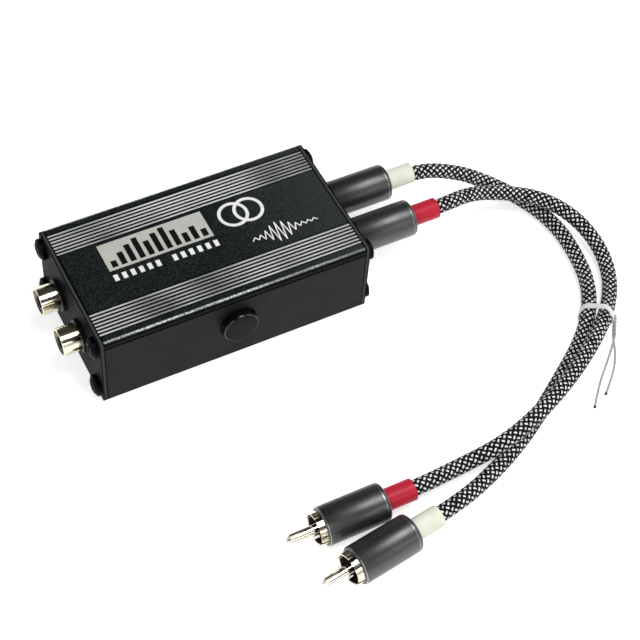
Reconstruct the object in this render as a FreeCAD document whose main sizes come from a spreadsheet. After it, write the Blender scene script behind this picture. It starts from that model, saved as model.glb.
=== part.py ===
import FreeCAD, Part
import Sketcher
import math
import os

# Ground loop isolator with a pair of stereo patch leads, in millimetres.
# X runs along the box from the input jacks to the output jacks, Y across it and Z up.
# The origin is at the middle of the box's underside.

# Driving dimensions
SIZES = {
    # extruded case
    "clear_height": 15.4,
    "wall": 1.6,
    "case_floor": 1.6,
    "cover_thickness": 1.8,
    "edge_radius": 1.2,
    "foot_radius": 0.8,
    "seam_drop": 2.8,
    "seam_gap": 0.6,
    "seam_depth": 0.5,
    "cover_fit": 0.2,
    "rib_count": 7,
    "rib_pitch": 1.2,
    "rib_width": 0.55,
    "rib_depth": 0.5,
    "rib_margin": 3.1,
    "rail_height": 1.0,
    "rail_reach": 1.6,
    # end plates and their screws
    "plate_thickness": 1.5,
    "channel_web": 0.4,
    "lower_screw_height": 4.4,
    "upper_screw_drop": 4.2,
    "screw_radius": 1.1,
    "screw_hole_fit": 0.02,
    "plate_hole_fit": 0.25,
    "screw_depth": 7.0,
    "screw_head_radius": 3.2,
    "screw_head_height": 2.0,
    "screw_head_dome": 0.7,
    "cross_width": 0.7,
    "cross_length": 3.2,
    "cross_depth": 1.2,
    "channel_width": 3.8,
    "channel_slit": 1.2,
    "channel_drop": 2.0,
    # circuit board
    "board_bottom": 7.2,
    "board_thickness": 1.6,
    "board_end_gap": 2.0,
    "board_side_gap": 0.2,
    "leg_hole_fit": 0.15,
    "notch_clearance": 0.5,
    "leg_below_board": 1.2,
    # isolating transformers
    "core_gap": 2.5,
    "core_spread": 9.0,
    "core_length": 17.0,
    "core_headroom": 2.0,
    "core_stack": 6.4,
    "core_yoke": 2.4,
    "core_leg": 4.4,
    "core_window": 3.7,
    "bobbin_wall": 0.6,
    "bobbin_flange": 0.8,
    "bobbin_fit": 0.05,
    "bobbin_overhang": 3.4,
    "winding_drop": 0.5,
    "winding_corner": 1.5,
    "pin_size": 0.6,
    "pin_pitch": 3.6,
    "pin_clearance": 2.9,
    # push switch and its button
    "button_place": 0.0,
    "button_clearance": 0.3,
    "button_radius": 5.4,
    "button_hole_fit": 0.3,
    "button_proud": 2.5,
    "button_rounding": 0.7,
    "button_ear_reach": 0.9,
    "button_ear_width": 4.0,
    "button_ear": 0.8,
    "button_ear_room": 0.4,
    "button_rest_gap": 0.3,
    "button_boss_radius": 2.8,
    "button_boss": 1.6,
    "plunger_size": 2.8,
    "plunger_fit": 0.05,
    "plunger_length": 6.4,
    "plunger_inset": 1.6,
    "button_travel": 2.0,
    "switch_width": 12.0,
    "switch_depth": 13.0,
    "switch_top_wall": 2.9,
    "switch_clearance": 0.3,
    "switch_pin_pitch": 4.0,
    "switch_pin_row": 4.5,
    # phono jacks, measured along their axis from the plate's outer face
    "jack_spread": 7.87,
    "jack_floor": 0.85,
    "jack_gap": 4.9,
    "jack_hole_fit": 0.1,
    "boss_wall": 0.75,
    "boss_proud": 1.1,
    "housing_wall": 1.05,
    "housing_back": 1.8,
    "sleeve_radius": 4.15,
    "sleeve_wall": 0.5,
    "sleeve_step": 0.22,
    "sleeve_mouth": 6.7,
    "sleeve_rim": 0.15,
    "snug_fit": 0.02,
    "insulator_recess": 0.3,
    "contact_recess": 0.5,
    "contact_wall": 0.35,
    "contact_clearance": 0.4,
    "contact_end": 0.4,
    "contact_stud": 0.6,
    "stud_reach": 0.9,
    "leg_size": 0.8,
    "ground_leg_place": 5.5,
    # phono plugs, measured along their axis from the ring's front edge
    "pin_radius": 1.6,
    "pin_fit": 0.05,
    "pin_step": 0.3,
    "pin_reach": 8.3,
    "pin_tip_radius": 0.75,
    "pin_tip": 1.1,
    "pin_slit": 0.5,
    "pin_slit_length": 5.0,
    "pin_tail": 12.0,
    "solder_cup_wall": 0.3,
    "solder_cup_depth": 2.5,
    "ring_fit": 0.03,
    "ring_wall": 0.52,
    "ring_clearance": 0.6,
    "ring_web": 2.3,
    "ring_slots": 4,
    "ring_slot_width": 0.8,
    "ring_slot_length": 4.0,
    "ring_lip": 0.2,
    "shell_wall": 0.9,
    "shell_length": 19.35,
    "shell_end": 1.5,
    "bush_wall": 0.8,
    "core_hole_radius": 1.2,
    "window_length": 6.0,
    "window_width": 4.6,
    "insulator_lip": 0.8,
    "barrel_wall": 0.8,
    "barrel_start": 2.05,
    "barrel_fit": 0.05,
    "barrel_chamfer": 0.35,
    "barrel_back_bevel": 0.7,
    "barrel_end": 1.5,
    "collar_room": 0.25,
    "collar_wall": 0.55,
    "collar_length": 10.3,
    "collar_fit": 0.05,
    # braided leads and the tie round them
    "lead_radius": 2.35,
    "lead_first_run": 12.85,
    "red_last_run": 12.85,
    "white_last_run": 15.4,
    "tie_width": 1.2,
    "tie_thickness": 0.35,
    "tie_fit": 0.15,
    "tie_twist_width": 1.3,
}

# Sizes that follow from the ones above, kept in the same sheet as formulas
FITTED = {
    "case_width": "2 * ( core_spread + ( core_stack + bobbin_overhang + pin_size ) / 2 "
                  "+ pin_clearance + channel_width + wall )",
    "case_height": "board_bottom + board_thickness + clear_height + cover_thickness",
    "seam_height": "case_height - seam_drop",
    "plate_hole_radius": "screw_radius + plate_hole_fit",
    "screw_inset": "wall + cover_fit + channel_web + screw_radius",
    "case_length": "2 * ( core_place + core_length / 2 + jack_gap + leg_size / 2 + stud_reach + housing_depth )",
    "board_notch_depth": "button_rest_gap + button_ear + button_travel + notch_clearance - board_side_gap",
    "core_place": "switch_width / 2 + core_gap + core_length / 2",
    "core_height": "clear_height - core_headroom",
    "button_height": "case_height - upper_screw_drop - channel_drop - button_clearance - button_radius",
    "switch_setback": "button_rest_gap + button_ear + button_boss + button_travel + switch_clearance",
    "switch_height": "button_height + plunger_size / 2 + switch_top_wall - board_bottom - board_thickness",
    "jack_height": "board_bottom + board_thickness + jack_floor + sleeve_radius",
    "boss_radius": "sleeve_radius + boss_wall",
    "housing_top": "sleeve_radius + housing_wall",
    "housing_width": "2 * ( sleeve_radius + housing_wall )",
    "housing_depth": "contact_depth + contact_end + housing_back - plate_thickness",
    "contact_radius": "pin_radius + pin_fit + contact_wall",
    "contact_depth": "pin_reach - boss_proud + contact_clearance",
    "solder_cup_radius": "pin_radius - pin_step - solder_cup_wall",
    "ring_radius": "sleeve_radius + ring_fit + ring_wall",
    "ring_depth": "sleeve_mouth - boss_proud + ring_clearance",
    "shell_inner_radius": "ring_radius - shell_wall",
    "web_bore_radius": "pin_radius + bush_wall",
    "barrel_radius": "ring_radius + barrel_fit + barrel_wall",
    "collar_radius": "lead_radius + collar_room + collar_wall",
}

# Where the free plugs lie, as the place of the ring's front edge and the turn about the upright,
# and the routes of the leads between the plugs, all chosen by hand from the picture
WHITE_PLUG = ("-5.94", "-102.01", 8.18)
RED_PLUG = ("-8.5", "-87.5", 0.0)
WHITE_ROUTE = [
    (86.8, 5.4, 10.2),
    (95.0, 2.0, 6.3),
    (102.0, -4.5, 3.6),
    (107.0, -13.0, 2.4),
    (109.0, -23.2, 2.4),
    (108.2, -34.0, 2.4),
    (105.7, -44.6, 2.7),
    (99.8, -54.6, 3.3),
    (91.4, -63.1, 2.6),
    (80.6, -70.5, 2.4),
    (69.0, -78.3, 2.4),
    (56.3, -85.8, 2.4),
    (42.7, -92.0, 3.0),
]
RED_ROUTE = [
    (86.8, -5.0, 10.8),
    (97.7, -7.1, 8.2),
    (107.4, -13.1, 7.6),
    (114.0, -22.3, 5.7),
    (116.2, -33.3, 3.5),
    (113.8, -44.4, 2.4),
    (106.9, -54.5, 3.0),
    (97.4, -63.2, 6.1),
    (86.0, -71.2, 7.2),
    (73.6, -78.1, 8.0),
    (60.9, -83.6, 8.1),
    (48.6, -86.5, 7.1),
    (36.3, -85.8, 3.7),
]
TIE_PLACE = (100.7, -56.8, 3.3)
TIE_TWIST_END = (102.6, -64.2, 1.5)
# Each tail: thickness and end of one stretch after another
TIE_TAILS = [
    [(0.9, (96.6, -70.6, 0.9)), (0.8, (89.0, -77.2, 0.8)), (0.7, (83.8, -83.2, 0.6))],
    [(0.9, (99.4, -70.2, 0.9)), (0.8, (94.9, -75.9, 0.8)), (0.7, (89.2, -80.7, 0.6))],
]

LEFT = 1
RIGHT = -1
INPUT_END = -1
OUTPUT_END = 1

doc = FreeCAD.newDocument("ground_loop_isolator")
sheet = doc.addObject("Spreadsheet::Sheet", "sizes")
nodes = []
swept_runs = {}


def fill_sheet():
    for row, alias in enumerate([*SIZES, *FITTED], start=1):
        sheet.set("A%d" % row, alias)
        sheet.setAlias("B%d" % row, alias)
        sheet.set("B%d" % row, str(SIZES[alias]) if alias in SIZES else "=" + FITTED[alias])
    doc.recompute()


# Helpers that bind geometry to the sheet

def expression(text):
    """Turn plain words for sizes into references to the sheet."""
    return " ".join("sizes." + word if word in SIZES or word in FITTED else word for word in text.split())


def size(text):
    """The number that an expression in the sheet's words gives."""
    return float(sheet.evalExpression(expression(text)))


def new_body(name):
    body = doc.addObject("PartDesign::Body", name)
    body.Label = name
    nodes.append(body)
    return body


def origin_feature(body, role):
    return next(item for item in body.Origin.OriginFeatures if item.Role == role)


def new_sketch(body, name, plane, offset):
    sketch = body.newObject("Sketcher::SketchObject", name)
    sketch.AttachmentSupport = [(origin_feature(body, plane), "")]
    sketch.MapMode = "FlatFace"
    sketch.setExpression(".AttachmentOffset.Base.z", expression(offset))
    return sketch


def pin_down(sketch, edge, vertex, across, up):
    """Hold one vertex of a sketch at two expressions, measured from the sketch's origin."""
    here = sketch.getPoint(edge, vertex)
    for kind, number, text in (("DistanceX", here.x, across), ("DistanceY", here.y, up)):
        row = sketch.addConstraint(Sketcher.Constraint(kind, -1, 1, edge, vertex, number))
        sketch.setExpression("Constraints[%d]" % row, expression(text))


def add_outline(sketch, corners):
    """A closed polygon whose corners are pairs of expressions."""
    first = sketch.GeometryCount
    count = len(corners)
    points = [FreeCAD.Vector(size(across), size(up), 0) for across, up in corners]
    for here, there in zip(points, points[1:] + points[:1]):
        sketch.addGeometry(Part.LineSegment(here, there), False)
    for edge in range(count):
        following = first + (edge + 1) % count
        sketch.addConstraint(Sketcher.Constraint("Coincident", first + edge, 2, following, 1))
    for edge, (across, up) in enumerate(corners):
        pin_down(sketch, first + edge, 1, across, up)


def add_circle(sketch, across, up, radius):
    centre = FreeCAD.Vector(size(across), size(up), 0)
    circle = Part.Circle(centre, FreeCAD.Vector(0, 0, 1), size(radius))
    edge = sketch.addGeometry(circle, False)
    pin_down(sketch, edge, 3, across, up)
    row = sketch.addConstraint(Sketcher.Constraint("Radius", edge, size(radius)))
    sketch.setExpression("Constraints[%d]" % row, expression(radius))


def rectangle(left, right, bottom, top):
    return [(left, bottom), (right, bottom), (right, top), (left, top)]


def turn(body, name, corners):
    """Revolve a half section, given as (place on the X axis, radius), about the X axis."""
    sketch = new_sketch(body, name + "_section", "XY_Plane", "0")
    add_outline(sketch, corners)
    feature = body.newObject("PartDesign::Revolution", name)
    feature.Profile = sketch
    feature.ReferenceAxis = (sketch, ["H_Axis"])
    feature.Angle = 360
    return feature


def pad(body, sketch, name, length):
    feature = body.newObject("PartDesign::Pad", name)
    feature.Profile = sketch
    feature.setExpression("Length", expression(length))
    return feature


def cut(body, sketch, name, depth, along_normal=False):
    """Pocket that has to take material away, checked by volume."""
    doc.recompute()
    before = body.Shape.Volume
    feature = body.newObject("PartDesign::Pocket", name)
    feature.Profile = sketch
    feature.setExpression("Length", expression(depth))
    feature.Reversed = along_normal
    doc.recompute()
    if not feature.Shape.Volume < before - 1e-6:
        raise RuntimeError("%s in %s takes nothing away" % (name, body.Label))
    return feature


def cut_block(body, name, plane, offset, corners, depth, along_normal=False):
    sketch = new_sketch(body, name + "_outline", plane, offset)
    add_outline(sketch, corners)
    return cut(body, sketch, name, depth, along_normal)


def cut_holes(body, name, plane, offset, places, radius, depth, along_normal=False):
    sketch = new_sketch(body, name + "_circles", plane, offset)
    for across, up in places:
        add_circle(sketch, across, up, radius)
    return cut(body, sketch, name, depth, along_normal)


def pad_block(body, name, plane, offset, corners, length):
    sketch = new_sketch(body, name + "_outline", plane, offset)
    add_outline(sketch, corners)
    return pad(body, sketch, name, length)


def round_off(body, name, radius, keep_edge):
    """Fillet the edges of the body that keep_edge picks."""
    doc.recompute()
    base = body.Tip
    picked = [
        "Edge%d" % (number + 1)
        for number, edge in enumerate(base.Shape.Edges)
        if keep_edge(edge)
    ]
    feature = body.newObject("PartDesign::Fillet", name)
    feature.Base = (base, picked)
    feature.setExpression("Radius", expression(radius))


def mirror_across(body, name, features, plane):
    pattern = body.newObject("PartDesign::Mirrored", name)
    pattern.Originals = features
    pattern.MirrorPlane = (origin_feature(body, plane), [""])
    body.Tip = pattern
    return pattern


def place(body, x, y, z, turned=0.0):
    """Put a body in the part's frame, turned about Z by some degrees."""
    upright = FreeCAD.Vector(0, 0, 1)
    body.Placement = FreeCAD.Placement(FreeCAD.Vector(), FreeCAD.Rotation(upright, turned))
    for letter, text in (("x", x), ("y", y), ("z", z)):
        body.setExpression(".Placement.Base." + letter, expression(text))


# Case

SEAM_TOP = "seam_height + seam_gap"
SEAM_FACE = "case_width / 2 - seam_depth"
INNER_WALL = "case_width / 2 - wall"
TONGUE_FACE = "case_width / 2 - wall - cover_fit"
CHANNEL_FACE = "case_width / 2 - wall - channel_width"
SCREW_ACROSS = "case_width / 2 - screw_inset"
UPPER_SCREW = "case_height - upper_screw_drop"
CEILING = "case_height - cover_thickness"
BOARD_TOP = "board_bottom + board_thickness"
CASE_END = "0 - case_length / 2"
CHANNEL_HOLE = "screw_radius + screw_hole_fit"


def minus(text):
    return "0 - ( %s )" % text


def runs_along_x(edge):
    return edge.BoundBox.XLength > 0.9 * size("case_length")


def at_corner(edge, across, up):
    middle = edge.BoundBox.Center
    return math.isclose(abs(middle.y), across, abs_tol=1e-4) and math.isclose(middle.z, up, abs_tol=1e-4)


def screw_channels(body, height):
    """Screw holes along both side channels, each open to the inside through a slit."""
    places = [(SCREW_ACROSS, height), (minus(SCREW_ACROSS), height)]
    cut_holes(body, "screw_channels", "YZ_Plane", CASE_END, places, CHANNEL_HOLE, "case_length", True)
    slit = rectangle(CHANNEL_FACE + " - 1", SCREW_ACROSS, height + " - channel_slit / 2",
                     height + " + channel_slit / 2")
    feature = cut_block(body, "channel_slit_cut", "YZ_Plane", CASE_END, slit, "case_length", True)
    mirror_across(body, "channel_slits", [feature], "XZ_Plane")


EAR_SPAN = "button_radius + button_ear_reach + button_ear_room"


def case_base():
    """Lower channel of the case, with a ledge and a rail that hold the board along each side."""
    body = new_body("case_base")
    half = [
        ("0", "0"),
        ("case_width / 2", "0"),
        ("case_width / 2", "seam_height"),
        (INNER_WALL, "seam_height"),
        (INNER_WALL, BOARD_TOP + " + rail_height + board_side_gap"),
        (INNER_WALL + " - rail_reach", BOARD_TOP + " + rail_height + board_side_gap"),
        (INNER_WALL + " - rail_reach", BOARD_TOP + " + board_side_gap"),
        (INNER_WALL, BOARD_TOP + " + board_side_gap"),
        (INNER_WALL, "board_bottom"),
        (CHANNEL_FACE, "board_bottom"),
        (CHANNEL_FACE, "case_floor"),
        ("0", "case_floor"),
    ]
    section = half[1:-1] + [(minus(across), up) for across, up in reversed(half[1:-1])]
    pad_block(body, "channel", "YZ_Plane", CASE_END, section, "case_length")
    half_width = size("case_width / 2")
    round_off(body, "underside_edges", "foot_radius",
              lambda edge: runs_along_x(edge) and at_corner(edge, half_width, 0.0))
    screw_channels(body, "lower_screw_height")
    cut_holes(body, "button_hole", "XZ_Plane", "case_width / 2", [("button_place", "button_height")],
              "button_radius + button_hole_fit", "wall")
    rail = rectangle("button_place - ( %s )" % EAR_SPAN, "button_place + %s" % EAR_SPAN,
                     "button_height - button_radius - button_ear_room",
                     BOARD_TOP + " + board_side_gap + rail_height")
    cut_block(body, "rail_break", "XZ_Plane", INNER_WALL, rail, "channel_width")


def case_cover():
    """Top of the case: a slab with grooves between its ribs and a tongue inside each side wall."""
    body = new_body("case_cover")
    half = [
        ("case_width / 2", "case_height"),
        ("case_width / 2", SEAM_TOP),
        (SEAM_FACE, SEAM_TOP),
        (SEAM_FACE, "seam_height"),
        (TONGUE_FACE, "seam_height"),
        (TONGUE_FACE, UPPER_SCREW + " - channel_drop"),
        (CHANNEL_FACE, UPPER_SCREW + " - channel_drop"),
        (CHANNEL_FACE, CEILING),
    ]
    section = half + [(minus(across), up) for across, up in reversed(half)]
    pad_block(body, "slab", "YZ_Plane", CASE_END, section, "case_length")
    half_width = size("case_width / 2")
    height = size("case_height")
    round_off(body, "top_edges", "edge_radius",
              lambda edge: runs_along_x(edge) and at_corner(edge, half_width, height))
    screw_channels(body, UPPER_SCREW)
    groove_side = "case_width / 2 - rib_margin"
    groove = rectangle(groove_side, groove_side + " + rib_pitch - rib_width", "case_height - rib_depth",
                       "case_height + 1")
    first = cut_block(body, "first_groove", "YZ_Plane", CASE_END, groove, "case_length", True)
    grooves = body.newObject("PartDesign::MultiTransform", "grooves")
    grooves.Originals = [first]
    across = body.newObject("PartDesign::LinearPattern", "grooves_across")
    across.Direction = (origin_feature(body, "Y_Axis"), [""])
    across.Reversed = True
    across.setExpression("Occurrences", expression("rib_count + 1"))
    across.setExpression("Length", expression("rib_pitch * rib_count"))
    other_side = body.newObject("PartDesign::Mirrored", "grooves_other_side")
    other_side.MirrorPlane = (origin_feature(body, "XZ_Plane"), [""])
    grooves.Transformations = [across, other_side]
    body.Tip = grooves


def end_plate(name, end):
    """Flat end plate with two jack holes and four screw holes, lying against the case's end."""
    body = new_body(name)
    outline = rectangle("0 - case_width / 2", "case_width / 2", "0", "case_height")
    pad_block(body, "plate", "YZ_Plane", "0", outline, "plate_thickness")
    half_width = size("case_width / 2")
    for label, radius, up in (("top_corners", "edge_radius", size("case_height")),
                              ("foot_corners", "foot_radius", 0.0)):
        round_off(body, label, radius, lambda edge, up=up: at_corner(edge, half_width, up))
    jacks = [("jack_spread", "jack_height"), ("0 - jack_spread", "jack_height")]
    cut_holes(body, "jack_holes", "YZ_Plane", "0", jacks, "boss_radius + jack_hole_fit",
              "plate_thickness", True)
    screws = [
        (side, height)
        for side in (SCREW_ACROSS, minus(SCREW_ACROSS))
        for height in ("lower_screw_height", UPPER_SCREW)
    ]
    cut_holes(body, "screw_holes", "YZ_Plane", "0", screws, "plate_hole_radius", "plate_thickness", True)
    shift = "case_length / 2" if end == OUTPUT_END else "0 - case_length / 2 - plate_thickness"
    place(body, shift, "0", "0")


def plate_screws(name, end):
    """Four pan-head screws of one end plate, turned about the X axis with a cross recess."""
    master = [
        ("0 - plate_thickness - screw_depth", "0"),
        ("0 - plate_thickness - screw_depth", "screw_radius * 0.6"),
        ("0 - plate_thickness - screw_depth + screw_radius", "screw_radius"),
        ("0", "screw_radius"),
        ("0", "screw_head_radius"),
        ("screw_head_height - screw_head_dome", "screw_head_radius"),
        ("screw_head_height", "screw_head_radius * 0.62"),
        ("screw_head_height", "0"),
    ]
    screws = []
    for side, label in ((LEFT, "left"), (RIGHT, "right")):
        for height, level in (("lower_screw_height", "lower"), (UPPER_SCREW, "upper")):
            body = doc.addObject("PartDesign::Body", "%s_%s_%s" % (name, label, level))
            turn(body, "screw", master)
            for number, (long_way, short_way) in enumerate((("cross_length", "cross_width"),
                                                            ("cross_width", "cross_length"))):
                recess = rectangle("0 - %s / 2" % long_way, long_way + " / 2",
                                   "0 - %s / 2" % short_way, short_way + " / 2")
                cut_block(body, "cross_recess_%d" % number, "YZ_Plane", "screw_head_height", recess,
                          "cross_depth")
            across = SCREW_ACROSS if side == LEFT else minus(SCREW_ACROSS)
            if end == OUTPUT_END:
                place(body, "case_length / 2 + plate_thickness", across, height)
            else:
                place(body, "0 - case_length / 2 - plate_thickness", across, height, 180.0)
            screws.append(body)
    group = doc.addObject("Part::Compound", name)
    group.Label = name
    group.Links = screws
    nodes.append(group)


# Circuit board and what stands on it

CONTACT_LEG = "case_length / 2 + plate_thickness - plate_thickness - housing_depth - stud_reach"
GROUND_LEG = "case_length / 2 + plate_thickness - ground_leg_place"


def transformer_pin_places():
    rows = ("0 - pin_pitch", "0", "pin_pitch")
    across = "core_stack / 2 + bobbin_overhang / 2"
    return [
        ("core_place + %s" % row, "%s * core_spread + %s" % (side, reach))
        for side in ("1", "-1")
        for row in rows
        for reach in (across, minus(across))
    ]


SWITCH_FRONT = "0 - case_width / 2 + wall + switch_setback"


def switch_pin_places():
    middle = SWITCH_FRONT + " + switch_depth / 2"
    return [
        ("button_place + %s" % across, "%s + %s" % (middle, along))
        for across in ("0 - switch_pin_row / 2", "switch_pin_row / 2")
        for along in ("0 - switch_pin_pitch", "0", "switch_pin_pitch")
    ]


def jack_leg_places():
    return [
        (along if end == OUTPUT_END else minus(along), across)
        for end in (INPUT_END, OUTPUT_END)
        for along in (CONTACT_LEG, GROUND_LEG)
        for across in ("jack_spread", "0 - jack_spread")
    ]


def circuit_board():
    """Board on the case's ledges, with a hole for each leg and a notch behind the button."""
    body = new_body("circuit_board")
    half_length = "case_length / 2 - board_end_gap"
    half_width = INNER_WALL + " - board_side_gap"
    outline = rectangle(minus(half_length), half_length, minus(half_width), half_width)
    pad_block(body, "board", "XY_Plane", "board_bottom", outline, "board_thickness")
    for name, places, thickness in (("jack", jack_leg_places(), "leg_size"),
                                    ("transformer", transformer_pin_places(), "pin_size"),
                                    ("switch", switch_pin_places(), "pin_size")):
        holes = new_sketch(body, name + "_hole_outlines", "XY_Plane", BOARD_TOP)
        half = "( %s / 2 + leg_hole_fit )" % thickness
        for across, up in places:
            add_outline(holes, rectangle("%s - %s" % (across, half), "%s + %s" % (across, half),
                                         "%s - %s" % (up, half), "%s + %s" % (up, half)))
        cut(body, holes, name + "_holes", "board_thickness")
    notch = rectangle("button_place - ( %s )" % EAR_SPAN, "button_place + %s" % EAR_SPAN,
                      minus(half_width) + " - 1", minus(half_width) + " + board_notch_depth")
    cut_block(body, "button_notch", "XY_Plane", BOARD_TOP, notch, "board_thickness")


CORE_BOTTOM = BOARD_TOP
WINDOW_BOTTOM = CORE_BOTTOM + " + core_yoke"
WINDOW_TOP = CORE_BOTTOM + " + core_height - core_yoke"


def transformer_core(name, side):
    """Stack of E and I laminations with two windows beside its middle leg."""
    body = new_body(name)
    outline = rectangle("0 - core_length / 2", "core_length / 2", CORE_BOTTOM, CORE_BOTTOM + " + core_height")
    pad_block(body, "stack", "XZ_Plane", "0 - core_stack / 2", outline, "core_stack")
    window = rectangle("core_leg / 2", "core_leg / 2 + core_window", WINDOW_BOTTOM, WINDOW_TOP)
    first = cut_block(body, "window", "XZ_Plane", "core_stack / 2", window, "core_stack")
    mirror_across(body, "windows", [first], "YZ_Plane")
    place(body, "core_place", "core_spread * %d" % side, "0")


def bobbin(name, side):
    """Square tube round the core's middle leg with a flange at each end."""
    body = new_body(name)
    tube_x = "core_leg / 2 + bobbin_fit + bobbin_wall"
    tube_y = "core_stack / 2 + bobbin_fit + bobbin_wall"
    bottom = WINDOW_BOTTOM + " + bobbin_fit"
    height = "core_height - 2 * core_yoke - 2 * bobbin_fit"
    pad_block(body, "tube", "XY_Plane", bottom,
              rectangle(minus(tube_x), tube_x, minus(tube_y), tube_y), height)
    flange_x = "core_leg / 2 + core_window - bobbin_fit"
    flange_y = "core_stack / 2 + bobbin_overhang"
    flange = rectangle(minus(flange_x), flange_x, minus(flange_y), flange_y)
    pad_block(body, "lower_flange", "XY_Plane", bottom, flange, "bobbin_flange")
    top = WINDOW_TOP + " - bobbin_fit - bobbin_flange"
    pad_block(body, "upper_flange", "XY_Plane", top, flange, "bobbin_flange")
    hole_x = "core_leg / 2 + bobbin_fit"
    hole_y = "core_stack / 2 + bobbin_fit"
    hole = rectangle(minus(hole_x), hole_x, minus(hole_y), hole_y)
    cut_block(body, "core_passage", "XY_Plane", bottom, hole, height, True)
    place(body, "core_place", "core_spread * %d" % side, "0")


def winding(name, side):
    """Wound wire with its tape, filling the bobbin between the flanges."""
    body = new_body(name)
    inner_x = "core_leg / 2 + bobbin_fit + bobbin_wall + snug_fit"
    inner_y = "core_stack / 2 + bobbin_fit + bobbin_wall + snug_fit"
    outer_x = "core_leg / 2 + core_window - winding_drop"
    outer_y = "core_stack / 2 + bobbin_overhang - winding_drop"
    bottom = WINDOW_BOTTOM + " + bobbin_fit + bobbin_flange + snug_fit"
    height = "core_height - 2 * core_yoke - 2 * bobbin_fit - 2 * bobbin_flange - 2 * snug_fit"
    pad_block(body, "wound_wire", "XY_Plane", bottom,
              rectangle(minus(outer_x), outer_x, minus(outer_y), outer_y), height)
    tall = size(height)
    round_off(body, "rounded_corners", "winding_corner",
              lambda edge: edge.BoundBox.ZLength > 0.9 * tall)
    hole = rectangle(minus(inner_x), inner_x, minus(inner_y), inner_y)
    cut_block(body, "bobbin_passage", "XY_Plane", bottom, hole, height, True)
    place(body, "core_place", "core_spread * %d" % side, "0")


def post(name, place_x, place_y, bottom, top, thickness):
    """Square upright post between two heights, for a leg that goes through the board."""
    box = doc.addObject("Part::Box", name)
    box.setExpression("Length", expression(thickness))
    box.setExpression("Width", expression(thickness))
    box.setExpression("Height", expression("( %s ) - ( %s )" % (top, bottom)))
    box.setExpression(".Placement.Base.x", expression("%s - %s / 2" % (place_x, thickness)))
    box.setExpression(".Placement.Base.y", expression("%s - %s / 2" % (place_y, thickness)))
    box.setExpression(".Placement.Base.z", expression(bottom))
    return box


def pin_group(name, places, top):
    group = doc.addObject("Part::Compound", name)
    group.Label = name
    bottom = "board_bottom - leg_below_board"
    group.Links = [
        post("%s_%d" % (name, number), across, along, bottom, top, "pin_size")
        for number, (across, along) in enumerate(places)
    ]
    nodes.append(group)


def transformer(prefix, side):
    transformer_core(prefix + "_transformer_core", side)
    bobbin(prefix + "_transformer_bobbin", side)
    winding(prefix + "_transformer_winding", side)
    places = transformer_pin_places()
    half = len(places) // 2
    own = places[:half] if side == LEFT else places[half:]
    pin_group(prefix + "_transformer_pins", own, WINDOW_BOTTOM + " + bobbin_fit")


PLUNGER_REST = "0 - case_width / 2 + wall + button_rest_gap + button_ear + button_boss - plunger_inset"


def switch_body():
    body = new_body("switch_body")
    outline = rectangle("button_place - switch_width / 2", "button_place + switch_width / 2", SWITCH_FRONT,
                        SWITCH_FRONT + " + switch_depth")
    pad_block(body, "housing", "XY_Plane", BOARD_TOP, outline, "switch_height")
    half = "plunger_size / 2 + plunger_fit"
    socket = rectangle("button_place - ( %s )" % half, "button_place + %s" % half,
                       "button_height - ( %s )" % half, "button_height + %s" % half)
    depth = "%s + plunger_length + button_travel + button_rest_gap - ( %s )" % (PLUNGER_REST, SWITCH_FRONT)
    cut_block(body, "plunger_passage", "XZ_Plane", minus(SWITCH_FRONT), socket, depth)


def switch_plunger():
    """Square plunger, seated in the button's boss and sliding in the switch."""
    body = new_body("switch_plunger")
    section = rectangle("button_place - plunger_size / 2", "button_place + plunger_size / 2",
                        "button_height - plunger_size / 2", "button_height + plunger_size / 2")
    back = minus(PLUNGER_REST) + " - plunger_length"
    pad_block(body, "plunger", "XZ_Plane", back, section, "plunger_length")


def button_cap():
    """Round cap with two ears behind the wall and a boss with a square socket."""
    body = new_body("button_cap")
    face = "0 - wall - button_rest_gap - button_proud"
    section = [
        (face, "0"),
        (face, "button_radius"),
        ("button_ear", "button_radius"),
        ("button_ear", "button_boss_radius"),
        ("button_ear + button_boss", "button_boss_radius"),
        ("button_ear + button_boss", "0"),
    ]
    turn(body, "cap", section)
    reach = "button_radius + button_ear_reach"
    ears = rectangle(minus(reach), reach, "0 - button_ear_width / 2", "button_ear_width / 2")
    pad_block(body, "ears", "YZ_Plane", "0", ears, "button_ear")
    radius = size("button_radius")
    front = size(face)
    round_off(body, "face_edge", "button_rounding",
              lambda edge: edge.BoundBox.XLength < 0.01 and edge.BoundBox.XMin < front + 0.01
              and edge.BoundBox.YMax > radius - 0.01)
    half = "plunger_size / 2"
    cut_block(body, "socket", "YZ_Plane", "button_ear + button_boss",
              rectangle(minus(half), half, minus(half), half), "plunger_inset")
    place(body, "button_place", "0 - case_width / 2 + wall + button_rest_gap", "button_height", 90.0)


# Phono jacks, drawn with their axis on X and the plate's outer face at zero

def place_jack(body, end, side):
    across = "jack_spread * %d" % side
    if end == OUTPUT_END:
        place(body, "case_length / 2 + plate_thickness", across, "jack_height")
    else:
        place(body, "0 - case_length / 2 - plate_thickness", across, "jack_height", 180.0)


HOUSING_END = "0 - plate_thickness - housing_depth"
SOCKET_END = "0 - plate_thickness - housing_depth + housing_back"
JACK_ABOVE_BOARD = "jack_height - board_bottom - board_thickness"
LEG_END = "0 - jack_height + board_bottom - leg_below_board"


def leg(body, name, along, top):
    """Square solder leg from a height down through the board."""
    half = "leg_size / 2"
    outline = rectangle("%s - %s" % (along, half), "%s + %s" % (along, half), minus(half), half)
    pad_block(body, name, "XY_Plane", LEG_END, outline, "%s - ( %s )" % (top, LEG_END))


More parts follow.
